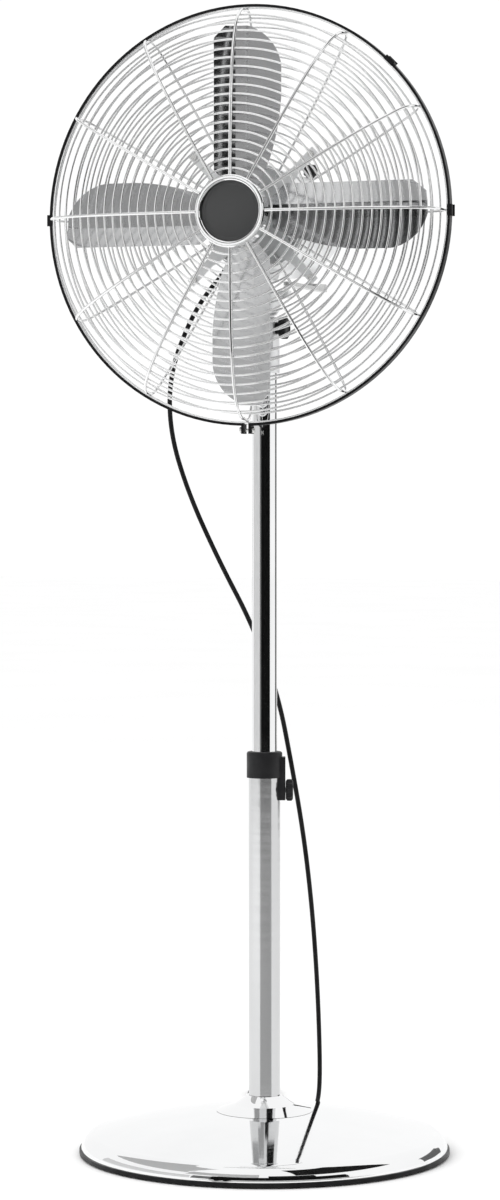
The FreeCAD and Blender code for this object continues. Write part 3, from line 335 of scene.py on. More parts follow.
@dataclass(frozen=True)
class MachinedSteel(Finish):
    """Turned or stamped steel, zinc or nickel plated, with tool lines and dull patches."""

    name: str
    tone: Rgb
    haze: float = 0.3

    def mix(self, recipe: Recipe) -> None:
        """Metal with fine streaks across and a cloudy passivation tint.

        Args:
            recipe: the recipe of the finish's material.
        """
        recipe.plain(Metallic=1.0)
        streaks = recipe.noise(160.0, 4.0, recipe.stretched((1.0, 1.0, 14.0)))
        cloud = recipe.noise(30.0, 4.0)
        mixed = recipe.combine("ADD", streaks, cloud)
        warm = (self.tone[0] * 0.86, self.tone[1] * 0.86, self.tone[2] * 0.85)
        recipe.tint(recipe.spread(mixed, 0.3, 0.7, 0.7, 1.3), warm, self.tone)
        recipe.rough(recipe.spread(streaks, self.haze * 0.7, self.haze * 1.4))
        recipe.relief(streaks, depth=0.00002, strength=0.4)


@dataclass(frozen=True)
class CastIron(Finish):
    """Raw sand casting: dark, coarse and dull."""

    name: str
    tone: Rgb

    def mix(self, recipe: Recipe) -> None:
        """Coarse pitted relief with rusty spots in the hollows.

        Args:
            recipe: the recipe of the finish's material.
        """
        recipe.plain(Metallic=0.4)
        pits = recipe.noise(240.0, 6.0)
        rust = (self.tone[0] * 1.15, self.tone[1] * 0.8, self.tone[2] * 0.7)
        recipe.tint(pits, rust, self.tone)
        recipe.rough(recipe.spread(pits, 0.85, 0.6))
        recipe.relief(pits, depth=0.0003, strength=0.7)


@dataclass(frozen=True)
class Winding(Finish):
    """Enamelled copper wire wound about an axis: close round turns under varnish, with painted
    shade in the grooves between them.
    """

    name: str
    tone: Rgb
    centre: Spot

    def mix(self, recipe: Recipe) -> None:
        """Rounded turns at one wire's pitch, with a varnish coat; the colour is painted darker in
        the grooves between turns as painted shade.

        Args:
            recipe: the recipe of the finish's material.
        """
        recipe.plain(Metallic=0.85, Coat_Weight=0.5)
        turns = recipe.wave(recipe.radius(self.centre), pitch=0.0008)
        shade = recipe.spread(turns, 0.3, 0.7, -1.0, 1.0)
        # painted shade: the tone falls to 0.55 of the copper's in the grooves between turns,
        # where shade would fall
        recipe.tint(shade, darker(self.tone, 0.55), self.tone)
        recipe.rough(recipe.spread(recipe.noise(60.0), 0.25, 0.4))
        recipe.relief(turns, depth=0.0001, strength=0.7)


@dataclass(frozen=True)
class SpunBadge(Finish):
    """Dark lacquered disc with fine spun circles, painted as light and dark rings where they
    would catch the light.
    """

    name: str
    tone: Rgb
    centre: Spot

    def mix(self, recipe: Recipe) -> None:
        """Circles about the axis in tone and relief under a gloss coat; the tone is painted
        highlight and shade, lighter on their crests and darker in their grooves.

        Args:
            recipe: the recipe of the finish's material.
        """
        recipe.plain(Metallic=0.45, Coat_Weight=0.35, Coat_Roughness=0.16)
        circles = recipe.wave(recipe.radius(self.centre), pitch=0.0009)
        shade = recipe.spread(circles, 0.3, 0.7, -1.0, 1.0)
        # painted highlight and shade: the tone goes from 0.72 of the lacquer's in the grooves to
        # full on the crests
        recipe.tint(shade, darker(self.tone, 0.72), self.tone)
        recipe.rough(recipe.spread(recipe.noise(45.0), 0.34, 0.48))
        recipe.relief(circles, depth=0.00001, strength=0.5)


CHROME = Plate("polished_chrome", (0.9, 0.904, 0.908), 0.035)
TUBE_CHROME = Plate("satin_tube_chrome", (0.66, 0.664, 0.668), 0.13)
WIRE_CHROME = Plate("wire_chrome", (0.93, 0.932, 0.934), 0.1)
BLADE = BladeSheet("buffed_aluminium", (0.58, 0.584, 0.588), AXIS)
PAINT = SilverPaint("silver_paint", (0.86, 0.866, 0.872))
BAND_BLACK = Moulding("satin_black_paint", (0.005, 0.005, 0.0055), 0.3, 0.42, grain=0.00002,
                      shine=0.12)
BLACK_PLASTIC = Moulding("black_moulding", (0.008, 0.008, 0.009), 0.36, 0.55, shine=0.25)
BADGE_GREY = SpunBadge("badge_lacquer", (0.062, 0.063, 0.064), AXIS)
ACETAL = Moulding("natural_acetal", (0.5, 0.5, 0.47), 0.35, 0.5, grain=0.00002)
ZINC = MachinedSteel("zinc_plated_steel", (0.66, 0.663, 0.665))
NICKEL = MachinedSteel("nickel_plating", (0.74, 0.738, 0.73), 0.18)
LAMINATION = MachinedSteel("varnished_laminations", (0.32, 0.31, 0.3), 0.45)
BRONZE = MachinedSteel("sintered_bronze", (0.6, 0.43, 0.22), 0.4)
IRON = CastIron("cast_iron", (0.09, 0.09, 0.095))
COPPER = Winding("enamelled_copper", (0.72, 0.36, 0.18), AXIS)
RUBBER = Moulding("black_rubber", (0.016, 0.016, 0.016), 0.55, 0.75)
JACKET = Moulding("cord_jacket", (0.005, 0.005, 0.0055), 0.38, 0.52, grain=0.00002, shine=0.15)


def dress(finish: Finish, *nodes: str) -> None:
    """Give structural nodes a finish.

    Args:
        finish: the finish.
        nodes: names of the nodes.
    """
    for node in nodes:
        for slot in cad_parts[node].material_slots:
            slot.material = finish.material()
        LOG.info("dressed %s in %s", node, finish.name)


# ------------------------------------------------------------------ surfaces
def placed(name: str, data: bpy.types.ID) -> bpy.types.Object:
    """A new object in the scene.

    Args:
        name: its name.
        data: its mesh, light or camera.

    Returns:
        The object.
    """
    thing = bpy.data.objects.new(name, data)
    bpy.context.scene.collection.objects.link(thing)
    return thing


def skin(name: str, grid: np.ndarray, crease: float, ring: bool = False) -> bpy.types.Object:
    """A closed mesh from a grid of points. Rows run along the piece and columns round it: the
    faces join each point to the next in its row and column, and the last column to the first.

    Args:
        name: the piece's name.
        grid: points, rows by columns by three, in metres.
        crease: edges that turn by more than this many degrees stay crisp.
        ring: whether the last row also joins the first, as in a closed loop.

    Returns:
        The new object, with its normals outwards.
    """
    rows, columns = grid.shape[:2]
    last = rows if ring else rows - 1
    row, column = np.meshgrid(np.arange(last), np.arange(columns), indexing="ij")
    after = (row + 1) % rows
    beside = (column + 1) % columns
    faces = np.stack([row * columns + column, row * columns + beside,
                      after * columns + beside, after * columns + column], axis=-1)
    mesh = bpy.data.meshes.new(name)
    mesh.from_pydata(grid.reshape(-1, 3).tolist(), [], faces.reshape(-1, 4).tolist())
    work = bmesh.new()
    work.from_mesh(mesh)
    bmesh.ops.remove_doubles(work, verts=work.verts, dist=1e-6)
    bmesh.ops.dissolve_degenerate(work, edges=work.edges, dist=1e-7)
    bmesh.ops.recalc_face_normals(work, faces=work.faces)
    work.to_mesh(mesh)
    work.free()
    mesh.shade_smooth()
    mesh.set_sharp_from_angle(angle=math.radians(crease))
    return placed(name, mesh)


def frame_about(axis: Spot) -> tuple[np.ndarray, np.ndarray, np.ndarray]:
    """Three unit vectors, of which the first points along an axis.

    Args:
        axis: the direction.

    Returns:
        The axis and two directions across it.
    """
    along = np.array(axis, float) / np.linalg.norm(axis)
    helper = np.array((0.0, 0.0, 1.0)) if abs(along[2]) < 0.9 else np.array((1.0, 0.0, 0.0))
    across = np.cross(helper, along)
    across /= np.linalg.norm(across)
    return along, across, np.cross(along, across)


@dataclass
class Turning:
    """A turned or moulded solid about an axis. A point at angle a of station i lies at
    origin + along_i * axis + reach_i * (1 + flute_i * cos(lobes * a)) * (cos a, sin a)."""

    name: str
    origin: Spot
    axis: Spot
    profile: list[Pair]
    lobes: int = 0
    flute: float = 0.0
    fluted: Pair = (0.0, 0.0)
    around: int = 96
    crease: float = 32.0

    def build(self) -> bpy.types.Object:
        """Work the grid out and make the piece.

        Returns:
            The new object.
        """
        along, across, up = frame_about(self.axis)
        stations = np.array(self.profile, float)
        angle = np.linspace(0, 2 * np.pi, self.around, endpoint=False)
        inside = (stations[:, 1] >= self.fluted[0]) & (stations[:, 1] <= self.fluted[1])
        depth = np.where(inside, self.flute, 0.0)[:, None]
        reach = stations[:, :1] * (1 + depth * np.cos(self.lobes * angle))
        round_way = np.cos(angle)[:, None] * across + np.sin(angle)[:, None] * up
        grid = (np.array(self.origin) + stations[:, 1, None, None] * along
                + reach[:, :, None] * round_way[None, :, :])
        return skin(self.name, grid, self.crease)


def arc_profile(centre: Pair, radius: float, start: float, stop: float) -> list[Pair]:
    """Six points of a round corner in a profile: centre + radius * (cos, sin) of an even angle.

    Args:
        centre: the arc's centre, as (reach, along).
        radius: its radius.
        start: first angle in degrees.
        stop: last angle in degrees.

    Returns:
        The points.
    """
    angle = np.radians(np.linspace(start, stop, 6))
    return [(centre[0] + radius * math.cos(turn), centre[1] + radius * math.sin(turn))
            for turn in angle]


def superellipse(angle: np.ndarray, power: np.ndarray | float) -> tuple[np.ndarray, np.ndarray]:
    """The loop |x|^(2/p) + |z|^(2/p) = 1: x = sign(cos a) |cos a|^p, and z with sin for cos."""
    return (np.sign(np.cos(angle)) * np.abs(np.cos(angle)) ** power,
            np.sign(np.sin(angle)) * np.abs(np.sin(angle)) ** power)


def tube_along(name: str, line: np.ndarray, radius: float, guide: Spot) -> bpy.types.Object:
    """A round tube along a line. At each point the tangent t comes from its neighbours, the
    side is guide x t made unit long, the rise is t x side, and the wall is the point plus
    radius * (cos a * side + sin a * rise). The ends are closed with a centre point.

    Args:
        name: the piece's name.
        line: points of the centre line.
        radius: the tube's radius.
        guide: a direction that the line never runs along.

    Returns:
        The new object.
    """
    tangent = np.gradient(line, axis=0)
    tangent /= np.linalg.norm(tangent, axis=1)[:, None]
    side = np.cross(np.array(guide), tangent)
    side /= np.linalg.norm(side, axis=1)[:, None]
    rise = np.cross(tangent, side)
    around = 14
    angle = np.linspace(0, 2 * np.pi, around, endpoint=False)[None, :, None]
    wall = (line[:, None, :] + radius * (np.cos(angle) * side[:, None, :]
                                         + np.sin(angle) * rise[:, None, :]))
    first = np.broadcast_to(line[0], (1, around, 3))
    last = np.broadcast_to(line[-1], (1, around, 3))
    return skin(name, np.concatenate([first, wall, last]), 60.0)


def finished(piece: bpy.types.Object, finish: Finish, slot: str, body: str | None,
             *stands_for: str) -> bpy.types.Object:
    """Dress a new piece, hang it on its body and hide the nodes that it stands for.

    Args:
        piece: the new object.
        finish: its finish.
        slot: the name of the finish's material slot; not used.
        body: the body it rides on, or None to attach it to no body.
        stands_for: nodes that it replaces.

    Returns:
        The same object.
    """
    piece.data.materials.clear()
    piece.data.materials.append(finish.material())
    if body is not None:
        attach(piece, body)
    if stands_for:
        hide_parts(*stands_for)
    LOG.info("made %s, %d faces", piece.name, len(piece.data.polygons))
    return piece


# ------------------------------------------------------------------ sub-assemblies
@dataclass
class Base:
    """The domed base on its pads, with the weight and the mast's socket inside."""

    def build(self) -> None:
        """Dress the structural nodes."""
        dress(CHROME, "base_cover", "base_flare")
        dress(BAND_BLACK, "base_edge_trim")
        dress(RUBBER, "base_feet")
        dress(ZINC, "base_pan", "mast_socket", "socket_fixings")
        dress(IRON, "base_weight")


@dataclass
class Knob:
    """A fluted hand knob with rounded rims, a dished end and a turned neck."""

    name: str
    node: str
    body: str
    origin: Spot
    axis: Spot
    reach: float
    start: float
    stop: float
    neck: float = 0.0
    neck_reach: float = 0.6
    lobes: int = 10
    flute: float = 0.075
    round: float = 0.0022
    dish: float = 0.0009

    def build(self) -> bpy.types.Object:
        """Make the knob and let it stand for its node.

        Returns:
            The knob.
        """
        rim = self.reach / (1 + self.flute)
        grip = self.start + self.neck
        bend = self.round
        profile = [(0.0, self.start)]
        if self.neck > 0:
            waist = rim * self.neck_reach
            profile += [(waist, self.start), (waist * 0.94, (self.start + grip) / 2),
                        (waist, grip)]
        profile += arc_profile((rim - bend, grip + bend), bend, -90, 0)
        profile += arc_profile((rim - bend, self.stop - bend), bend, 0, 90)
        profile += [(rim * 0.72, self.stop), (rim * 0.66, self.stop - self.dish),
                    (0.0, self.stop - self.dish)]
        fluted = (grip + bend * 0.5, self.stop - bend * 0.5)
        knob = Turning(self.name, self.origin, self.axis, profile, self.lobes, self.flute, fluted,
                       around=160, crease=40.0).build()
        return finished(knob, BLACK_PLASTIC, "black_plastic", self.body, self.node)


@dataclass
class Mast:
    """The two chromed tubes, the height clamp between them and the fork with the tilt bolt."""

    clamp_z: float = 0.393
    tilt_z: float = 0.890

    def build(self) -> None:
        """Dress the tubes and make both clamp knobs."""
        dress(TUBE_CHROME, "outer_tube")
        dress(CHROME, "inner_tube")
        dress(BLACK_PLASTIC, "height_collar")
        dress(ACETAL, "collar_bush", "inner_tube_glide")
        dress(ZINC, "height_screw", "tilt_bolt", "swivel_spindle")
        dress(PAINT, "mast_fork", "neck")
        turn = math.radians(SIDE_TURN)
        Knob("clamp_knob", "height_knob", "height_clamp", (0.0, 0.0, self.clamp_z),
             (math.cos(turn), math.sin(turn), 0.0), reach=0.012, start=0.0229,
             stop=0.0308).build()
        Knob("tilt_clamp_knob", "tilt_knob", "tilt_clamp", (0.0, 0.0, self.tilt_z),
             (1.0, 0.0, 0.0), reach=0.012, start=0.0133, stop=0.0263, neck=0.004).build()


@dataclass
class Motor:
    """The motor's round housing, what is inside it, and the swing drive behind it."""

    relief_start: float = 0.0555
    relief_root: float = 0.0065
    relief_tip: float = 0.0034
    ribs: int = 7
    rib_depth: float = 0.00055
    pull_y: float = 0.118
    pull_x: float = 0.016

    def build(self) -> None:
        """Dress the housing and the drive, and make the strain relief and both knobs."""
        dress(PAINT, "motor_front_cover", "motor_housing", "gearbox_cover", "swivel_boss")
        dress(BRONZE, "shaft_bearings")
        dress(ZINC, "motor_back_plate", "motor_shaft", "swing_crank", "swing_link")
        dress(LAMINATION, "stator", "rotor_core")
        dress(COPPER, "stator_coils")
        dress(ACETAL, "speed_switch", "worm_wheel")
        self.make_relief()
        Knob("swing_pull_knob", "swing_knob", "swing_pull", (self.pull_x, self.pull_y, AXIS[2]),
             (0.0, 0.0, 1.0), reach=0.008, start=0.0540, stop=0.070, neck=0.004,
             neck_reach=0.68, lobes=8, flute=0.06).build()
        Knob("speed_dial", "speed_knob", "speed_dial", AXIS, (0.0, 1.0, 0.0), reach=0.012,
             start=0.1504, stop=0.163, lobes=12, flute=0.05).build()

    def make_relief(self) -> bpy.types.Object:
        """The ribbed strain relief: its radius falls evenly from the root to the tip, less
        grooves that follow a clipped sine and fade towards both ends.

        Returns:
            The strain relief.
        """
        turn = math.radians(RELIEF_TURN)
        step = np.linspace(0.0, 1.0, 97)
        taper = self.relief_root + (self.relief_tip - self.relief_root) * step
        wave = np.clip(np.sin(2 * np.pi * self.ribs * step) * 4.0, -1.0, 1.0)
        fade = np.clip((step - 0.12) * 12, 0, 1) * np.clip((0.96 - step) * 12, 0, 1)
        groove = self.rib_depth * wave * fade
        along = self.relief_start + (RELIEF_END - self.relief_start) * step
        profile = [(0.0, float(along[0]))]
        profile += list(zip((taper + np.minimum(groove, 0.0)).tolist(), along.tolist()))
        profile += [(0.0, float(along[-1]))]
        relief = Turning("ribbed_relief", (0.0, RELIEF_Y, AXIS[2]),
                         (math.sin(turn), 0.0, math.cos(turn)), profile, around=40).build()
        return finished(relief, RUBBER, "rubber", "head", "strain_relief")


@dataclass
class Propeller:
    """The four folded blades on their spider, and the nut on the shaft's end."""

    blades: int = 4

    def build(self) -> None:
        """Dress the rotor's pieces."""
        dress(BLADE, *[f"blade_{number + 1}" for number in range(self.blades)])
        dress(ZINC, "blade_spider")
        dress(NICKEL, "blade_rivets")
        dress(BLACK_PLASTIC, "blade_nut")


@dataclass
class Guard:
    """The two wire cages with their band, clips, hub and rear bracket."""

    badge_reach: float = 0.0318
    badge_front: float = -0.118
    badge_thick: float = 0.0028

    def build(self) -> None:
        """Dress the cages and make the badge."""
        dress(WIRE_CHROME, "front_guard_rings", "front_guard_side_rings", "rear_guard_rings",
              "front_guard_spokes", "rear_guard_spokes")
        dress(BAND_BLACK, "guard_band", "guard_clips")
        dress(NICKEL, "guard_screws")
        dress(CHROME, "guard_hub_ring")
        dress(PAINT, "guard_bracket")
        self.make_badge()

    def make_badge(self) -> bpy.types.Object:
        """The blank badge: a low dome with a raised rim and one turned groove.

        Returns:
            The badge.
        """
        reach = self.badge_reach
        front = self.badge_front
        back = front + self.badge_thick
        bevel, floor, crown = 0.0004, 0.0007, 0.0006
        profile = [(0.0, back), (reach, back), (reach, front + bevel), (reach - bevel, front),
                   (reach - 0.0022, front), (reach - 0.0028, front + floor),
                   (reach - 0.0038, front + floor)]
        inner = np.linspace(reach - 0.0042, 0.0, 12)
        dome = front + bevel + crown * (inner / inner[0]) ** 2
        profile += list(zip(inner.tolist(), dome.tolist()))
        badge = Turning("hub_badge", AXIS, (0.0, 1.0, 0.0), profile, around=128).build()
        return finished(badge, BADGE_GREY, "badge_plastic", "head", "guard_badge")


# ------------------------------------------------------------------ power cord
class FarEnd(Enum):
    """What a length of cord runs into."""

    PLUG = "plug"
    OBJECT = "object"


@dataclass
class PowerCord:
    """The power cord from the motor's strain relief to its plug, in four lengths: one at the
    motor, one at the neck, one down the mast, and the tied hank."""

    radius: float = 0.0026
    lie: float = 0.0027
    meets: Pair = (0.016, 0.270)
    guide: Spot = (0.457, 0.889, 0.0)
    hank_reach: float = 0.0163
    hank_low: float = 0.216
    hank_long: float = 0.096
    swing_top: float = 0.94
    swing_low: float = 0.80
    tilt_low: float = 0.57
    mast_travel: float = 0.17
    turns: float = 2.0
    tail_long: float = 0.028
    plug_height: float = 0.008

    def route(self) -> list[Spot]:
        """The way the hanging length goes, in the turned frame.

        Returns:
            Its points after the two on the strain relief.
        """
        return [
            (-0.081, 0.052, 0.902), (-0.103, 0.062, 0.846), (-0.104, 0.068, 0.783),
            (-0.084, 0.070, 0.715), (-0.050, 0.060, 0.640), (-0.013, 0.042, 0.570),
            (0.015, 0.034, 0.494), (0.030, 0.040, 0.416), (0.043, 0.060, 0.340),
            (0.052, 0.088, 0.265), (0.058, 0.120, 0.192), (0.062, 0.152, 0.118),
            (0.064, 0.184, 0.050), (0.062, 0.206, 0.018), (0.056, 0.234, 0.003),
            (0.041, 0.259, self.lie), (*self.meets, self.lie),
        ]

    def turned(self, spots: np.ndarray) -> np.ndarray:
        """Points of the turned frame in the fan's own frame: x = a cos t - b sin t and
        y = a sin t + b cos t.

        Args:
            spots: points as (across, behind, up).

        Returns:
            The same points in the fan's frame.
        """
        angle = math.radians(SIDE_TURN)
        across, behind, up = np.asarray(spots, float).T
        return np.stack([across * math.cos(angle) - behind * math.sin(angle),
                         across * math.sin(angle) + behind * math.cos(angle), up], axis=1)

    def spline_line(self, points: np.ndarray, fine: int) -> np.ndarray:
        """The line of a smooth spline that has the points as its control points.

        Args:
            points: control points.
            fine: steps between two control points.

        Returns:
            Points along the line.
        """
        curve = bpy.data.curves.new("cord_route", "CURVE")
        curve.dimensions = "3D"
        curve.resolution_u = fine
        spline = curve.splines.new("NURBS")
        spline.points.add(len(points) - 1)
        spline.points.foreach_set("co", np.c_[points, np.ones(len(points))].ravel())
        spline.order_u = 3
        spline.use_endpoint_u = True
        holder = bpy.data.objects.new("cord_route", curve)
        mesh = bpy.data.meshes.new_from_object(holder)
        line = np.zeros(len(mesh.vertices) * 3)
        mesh.vertices.foreach_get("co", line)
        bpy.data.objects.remove(holder)
        bpy.data.curves.remove(curve)
        bpy.data.meshes.remove(mesh)
        return line.reshape(-1, 3)

    def hanging_line(self) -> np.ndarray:
        """The line from the strain relief to the hank.

        Returns:
            Points along the line.
        """
        lean = math.radians(RELIEF_TURN)
        reaches = np.array([RELIEF_END, RELIEF_END + 0.020])
        first = np.stack([reaches * math.sin(lean), np.full(2, RELIEF_Y),
                          AXIS[2] + reaches * math.cos(lean)], axis=1)
        return self.spline_line(np.concatenate([first, self.turned(np.array(self.route()))]), 10)

    def hank_line(self) -> np.ndarray:
        """The line of the folded hank and its tail to the plug. The turns follow two straight
        runs and two half circles; with s the way along them, the height climbs by one
        diameter up to the first crossing and then by one diameter a turn.

        Returns:
            Points along the line.
        """
        reach = self.hank_reach
        north = self.hank_low + self.hank_long - reach - self.radius
        south = self.hank_low + reach + self.radius
        run = north - south
        half = math.pi * reach
        around = 2 * (run + half)
        leave = run * 0.35
        way = np.linspace(0.0, self.turns * around - leave, int(self.turns * 40))
        spot = way % around
        on_north = spot < half
        on_east = (spot >= half) & (spot < half + run)
        on_south = (spot >= half + run) & (spot < 2 * half + run)
        bend = np.where(on_north, spot, spot - half - run) / reach
        across = np.select([on_north, on_east, on_south],
                           [-reach * np.cos(bend), reach, reach * np.cos(bend)], -reach)
        behind = np.select([on_north, on_east, on_south],
                           [north + reach * np.sin(bend), north - (spot - half),
                            south - reach * np.sin(bend)], south + (spot - 2 * half - run))
        cross = half + north - self.meets[1]
        climb = np.where(way < cross, way / cross, 1 + (way - cross) / around)
        height = self.lie + 2.04 * self.radius * climb
        turns = np.stack([across, behind, height], axis=1)
        entry = [(*self.meets, self.lie), (0.008, 0.2734, self.lie), (0.0, 0.2767, self.lie),
                 (-0.0069, 0.2794, self.lie), (-0.0116, 0.2826, self.lie),
                 (-0.0149, 0.2872, self.lie)]
        top = height[-1]
        tip = self.hank_low + self.hank_long + self.tail_long
        tail = [(-reach + 0.001, north - leave + 0.014, top + 0.0006),
                (-0.0105, north + 0.004, top + 0.0016), (-0.0035, north + 0.0165, top + 0.0014),
                (-0.0005, tip - 0.021, top - 0.0022),
                (0.0, tip - 0.012, self.plug_height + 0.001),
                (0.0, tip - 0.004, self.plug_height), (0.0, tip + 0.004, self.plug_height)]
        return self.spline_line(self.turned(np.concatenate([entry, turns, tail])), 4)

    def build(self) -> None:
        """Make the four lengths, the tie and the plug."""
        line = self.hanging_line()
        first = int(np.argmax(line[:, 2] < self.swing_low))
        second = int(np.argmax(line[:, 2] < self.tilt_low))
        parts = {"cord_at_motor": line[:first + 1], "cord_at_neck": line[first:second + 1],
                 "cord_down_mast": line[second:]}
        pieces = {name: finished(tube_along(name, part, self.radius, self.guide), JACKET,
                                 "cord_jacket", None, "power_cord")
                  for name, part in parts.items()}
        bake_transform(pieces["cord_at_motor"])
        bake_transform(pieces["cord_at_neck"])
        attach(pieces["cord_down_mast"], "stand")
        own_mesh(pieces["cord_down_mast"])
        coil_line = self.hank_line()
        coil = finished(tube_along("cord_hank_turns", coil_line, self.radius, (0.0, 0.0, 1.0)),
                        JACKET, "cord_jacket", "stand", "cord_hank")
        tie = self.make_tie()
        plug = self.make_plug()
        dress(NICKEL, "plug_pins")

    def make_tie(self) -> bpy.types.Object:
        """The strap round the hank: a superellipse loop |x/a|^4 + |z/b|^4 = 1 that carries the
        section of a thin band with rounded edges.

        Returns:
            The tie.
        """
        wide = self.hank_reach + self.radius
        tall = 0.0095
        middle = self.hank_low + self.hank_long - 0.035
        angle = np.linspace(0, 2 * np.pi, 72, endpoint=False)[:, None]
        aside, rise = superellipse(angle, 0.5)
        section = np.array([(0.0, -0.0042), (0.0, 0.0042), (-0.0003, 0.0048), (-0.0009, 0.0048),
                            (-0.0011, 0.0042), (-0.0011, -0.0042), (-0.0009, -0.0048),
                            (-0.0003, -0.0048)])
        across = aside * (wide + section[None, :, 0])
        up = tall + rise * (tall + section[None, :, 0])
        behind = np.broadcast_to(middle + section[None, :, 1], across.shape)
        spots = np.stack([across, behind, up], axis=-1).reshape(-1, 3)
        grid = self.turned(spots).reshape(len(angle), len(section), 3)
        tie = skin("cord_tie", grid, 50.0, ring=True)
        return finished(tie, BLACK_PLASTIC, "black_plastic", "stand", "hank_tie")

    def make_plug(self) -> bpy.types.Object:
        """The moulded plug body: superellipse sections (|x/a|^n + |z/b|^n = 1) whose half
        width and half height change along it, from the cord's size to a waisted grip.

        Returns:
            The plug body.
        """
        start = self.hank_low + self.hank_long + self.tail_long
        stations = np.array([
            (0.0000, 0.0031, 0.0031), (0.0002, 0.0036, 0.0036), (0.0040, 0.0041, 0.0041),
            (0.0046, 0.0036, 0.0036), (0.0062, 0.0044, 0.0044), (0.0068, 0.0050, 0.0048),
            (0.0098, 0.0068, 0.0060), (0.0120, 0.0112, 0.0076), (0.0150, 0.0124, 0.0079),
            (0.0230, 0.0112, 0.0072), (0.0320, 0.0118, 0.0075), (0.0400, 0.0129, 0.0079),
            (0.0432, 0.0129, 0.0079), (0.0440, 0.0122, 0.0072), (0.0440, 0.0, 0.0)])
        angle = np.linspace(0, 2 * np.pi, 56, endpoint=False)
        power = (2 / np.interp(stations[:, 0], [0, 0.008, 0.014], [2.0, 2.2, 3.6]))[:, None]
        aside, rise = superellipse(angle, power)
        across = stations[:, 1:2] * aside
        up = self.plug_height + stations[:, 2:3] * rise
        behind = np.broadcast_to(start + stations[:, :1], across.shape)
        spots = np.stack([across, behind, up], axis=-1).reshape(-1, 3)
        grid = self.turned(spots).reshape(len(stations), len(angle), 3)
        cap = np.broadcast_to(grid[0].mean(axis=0), (1, len(angle), 3))
        plug = skin("plug_moulding", np.concatenate([cap, grid]), 35.0)
        return finished(plug, BLACK_PLASTIC, "black_plastic", "stand", "plug_body")


# ------------------------------------------------------------------ studio
@dataclass(frozen=True)
class Card:
    """A bent card that shows only as a reflection. It spans the turns a between its two sides
    about the mast, in degrees, a counted from the fan's front towards +X. Its points are
    (r sin a, -r cos a, z), with (r, z) straight from the near edge to the far edge."""

    name: str
    sides: Pair
    near: Pair
    far: Pair
    tone: float
    bends: int = 16

    def mesh(self) -> bpy.types.Mesh:
        """The card's surface.

        Returns:
            A new mesh.
        """
        turn = np.radians(np.linspace(*self.sides, self.bends + 1))[None, :]
        step = np.linspace(0.0, 1.0, 2)[:, None]
        reach = self.near[0] + (self.far[0] - self.near[0]) * step
        height = self.near[1] + (self.far[1] - self.near[1]) * step + 0 * turn
        spots = np.stack([reach * np.sin(turn), -reach * np.cos(turn), height], axis=-1)
        first = np.arange(self.bends)
        above = first + self.bends + 1
        mesh = bpy.data.meshes.new(self.name)
        mesh.from_pydata(spots.reshape(-1, 3).tolist(), [],
                         np.stack([first, first + 1, above + 1, above], axis=1).tolist())
        return mesh


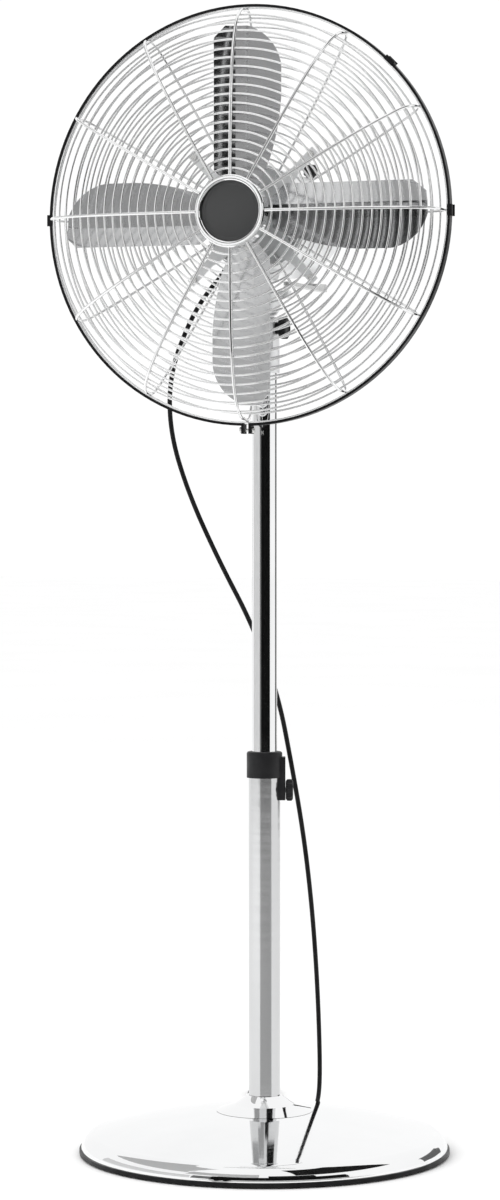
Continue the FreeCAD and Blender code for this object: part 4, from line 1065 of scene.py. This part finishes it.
@dataclass
class Studio:
    """The pale floor, the soft light and the dark cards that chrome needs to read as chrome."""

    camera_at: Spot = (1.098, -3.4705, 0.694)
    look_at: Spot = (-0.0149, -0.0048, 0.598)
    lens: float = 101.4
    floor_reach: float = 30.0
    floor_tone: float = 0.97
    world_strength: float = 1.04
    key_at: Spot = (-2.2, -2.6, 3.0)
    key_watts: float = 45.0
    key_wide: float = 2.0
    cards: tuple[Card, ...] = (
        Card("black_front_right", (-14.0, 69.0), (3.0, 0.18), (3.0, 1.2), 0.004),
        Card("grey_front_foot", (-14.0, 69.0), (3.01, 0.0), (3.0, 0.18), 0.42),
        Card("black_high_right", (20.0, 50.0), (3.0, 1.2), (3.0, 1.9), 0.01),
        Card("pale_left", (-100.0, -28.0), (3.1, 0.2), (3.1, 1.05), 0.62),
        Card("dark_back_right", (132.0, 160.0), (3.1, 0.1), (3.1, 1.05), 0.12),
        Card("dark_front_left", (-27.0, -14.0), (3.0, 0.2), (3.0, 1.08), 0.15),
        Card("grey_front_low", (-11.0, 14.0), (3.05, 1.22), (3.05, 1.45), 0.45),
        Card("grey_front_high", (-34.0, 14.0), (3.05, 1.45), (3.05, 2.7), 0.45),
        Card("black_above_right", (38.0, 112.0), (3.0, 2.0), (1.0, 2.9), 0.01),
        Card("grey_above_left", (-112.0, -36.0), (3.0, 2.0), (1.2, 2.9), 0.45),
        Card("grey_floor", (-14.0, 69.0), (0.32, 0.002), (3.01, 0.002), 0.42))

    def grey(self, name: str, tone: float) -> bpy.types.Material:
        """A dull grey for the floor or a card.

        Args:
            name: the material's name.
            tone: its grey.

        Returns:
            The material.
        """
        recipe = Recipe(name)
        recipe.tint(recipe.noise(1.5, 2.0), (tone * 0.98,) * 3, (tone,) * 3)
        recipe.plain(Roughness=0.9, Specular_IOR_Level=0.1)
        return recipe.material

    def hang(self, card: Card) -> None:
        """Put a card up where only reflections see it.

        Args:
            card: the card.
        """
        mesh = card.mesh()
        mesh.materials.append(self.grey(f"{card.name}_grey", card.tone))
        hung = placed(card.name, mesh)
        hung.visible_camera = False
        hung.visible_diffuse = False
        hung.visible_shadow = False

    def floor(self) -> None:
        """A wide pale floor under the fan."""
        wide = self.floor_reach
        mesh = bpy.data.meshes.new("floor")
        mesh.from_pydata([(-wide, -wide, 0), (wide, -wide, 0), (wide, wide, 0), (-wide, wide, 0)],
                         [], [(0, 1, 2, 3)])
        mesh.materials.append(self.grey("floor_pale", self.floor_tone))
        placed("floor", mesh)

    def key_light(self) -> None:
        """A square soft light that points at the fan's middle and leaves no highlight."""
        light = bpy.data.lights.new("key_light", "AREA")
        light.energy = self.key_watts
        light.size = self.key_wide
        lamp = placed("key_light", light)
        lamp.location = self.key_at
        lamp.visible_glossy = False
        aim = Vector((0, 0, 0.6)) - Vector(self.key_at)
        lamp.rotation_euler = aim.to_track_quat("-Z", "Y").to_euler()

    def camera(self) -> None:
        """A long lens, a little above the fan's middle and a twentieth of a turn to the right."""
        lens = bpy.data.cameras.new("camera")
        lens.lens = self.lens
        lens.sensor_width = 36.0
        lens.sensor_fit = "AUTO"
        camera = placed("camera", lens)
        camera.location = self.camera_at
        aim = Vector(self.look_at) - Vector(self.camera_at)
        camera.rotation_euler = aim.to_track_quat("-Z", "Y").to_euler()
        bpy.context.scene.camera = camera

    def build(self) -> None:
        """Set up the camera, the floor, the light and the cards."""
        self.camera()
        self.floor()
        world = bpy.data.worlds.new("white_room")
        world.use_nodes = True
        background = world.node_tree.nodes["Background"]
        background.inputs["Color"].default_value = (1, 1, 1, 1)
        background.inputs["Strength"].default_value = self.world_strength
        bpy.context.scene.world = world
        bpy.context.scene.view_settings.view_transform = "Standard"
        self.key_light()
        for card in self.cards:
            self.hang(card)
        LOG.info("studio ready")


def main() -> None:
    """Build the camera and the cord first, then every sub-assembly in order."""
    logging.basicConfig(level=logging.INFO, format="%(name)s: %(message)s")
    Studio().build()
    PowerCord().build()
    for assembly in (Base(), Mast(), Motor(), Propeller(), Guard()):
        assembly.build()
        LOG.info("%s done", type(assembly).__name__)


if __name__ == "__main__":
    main()
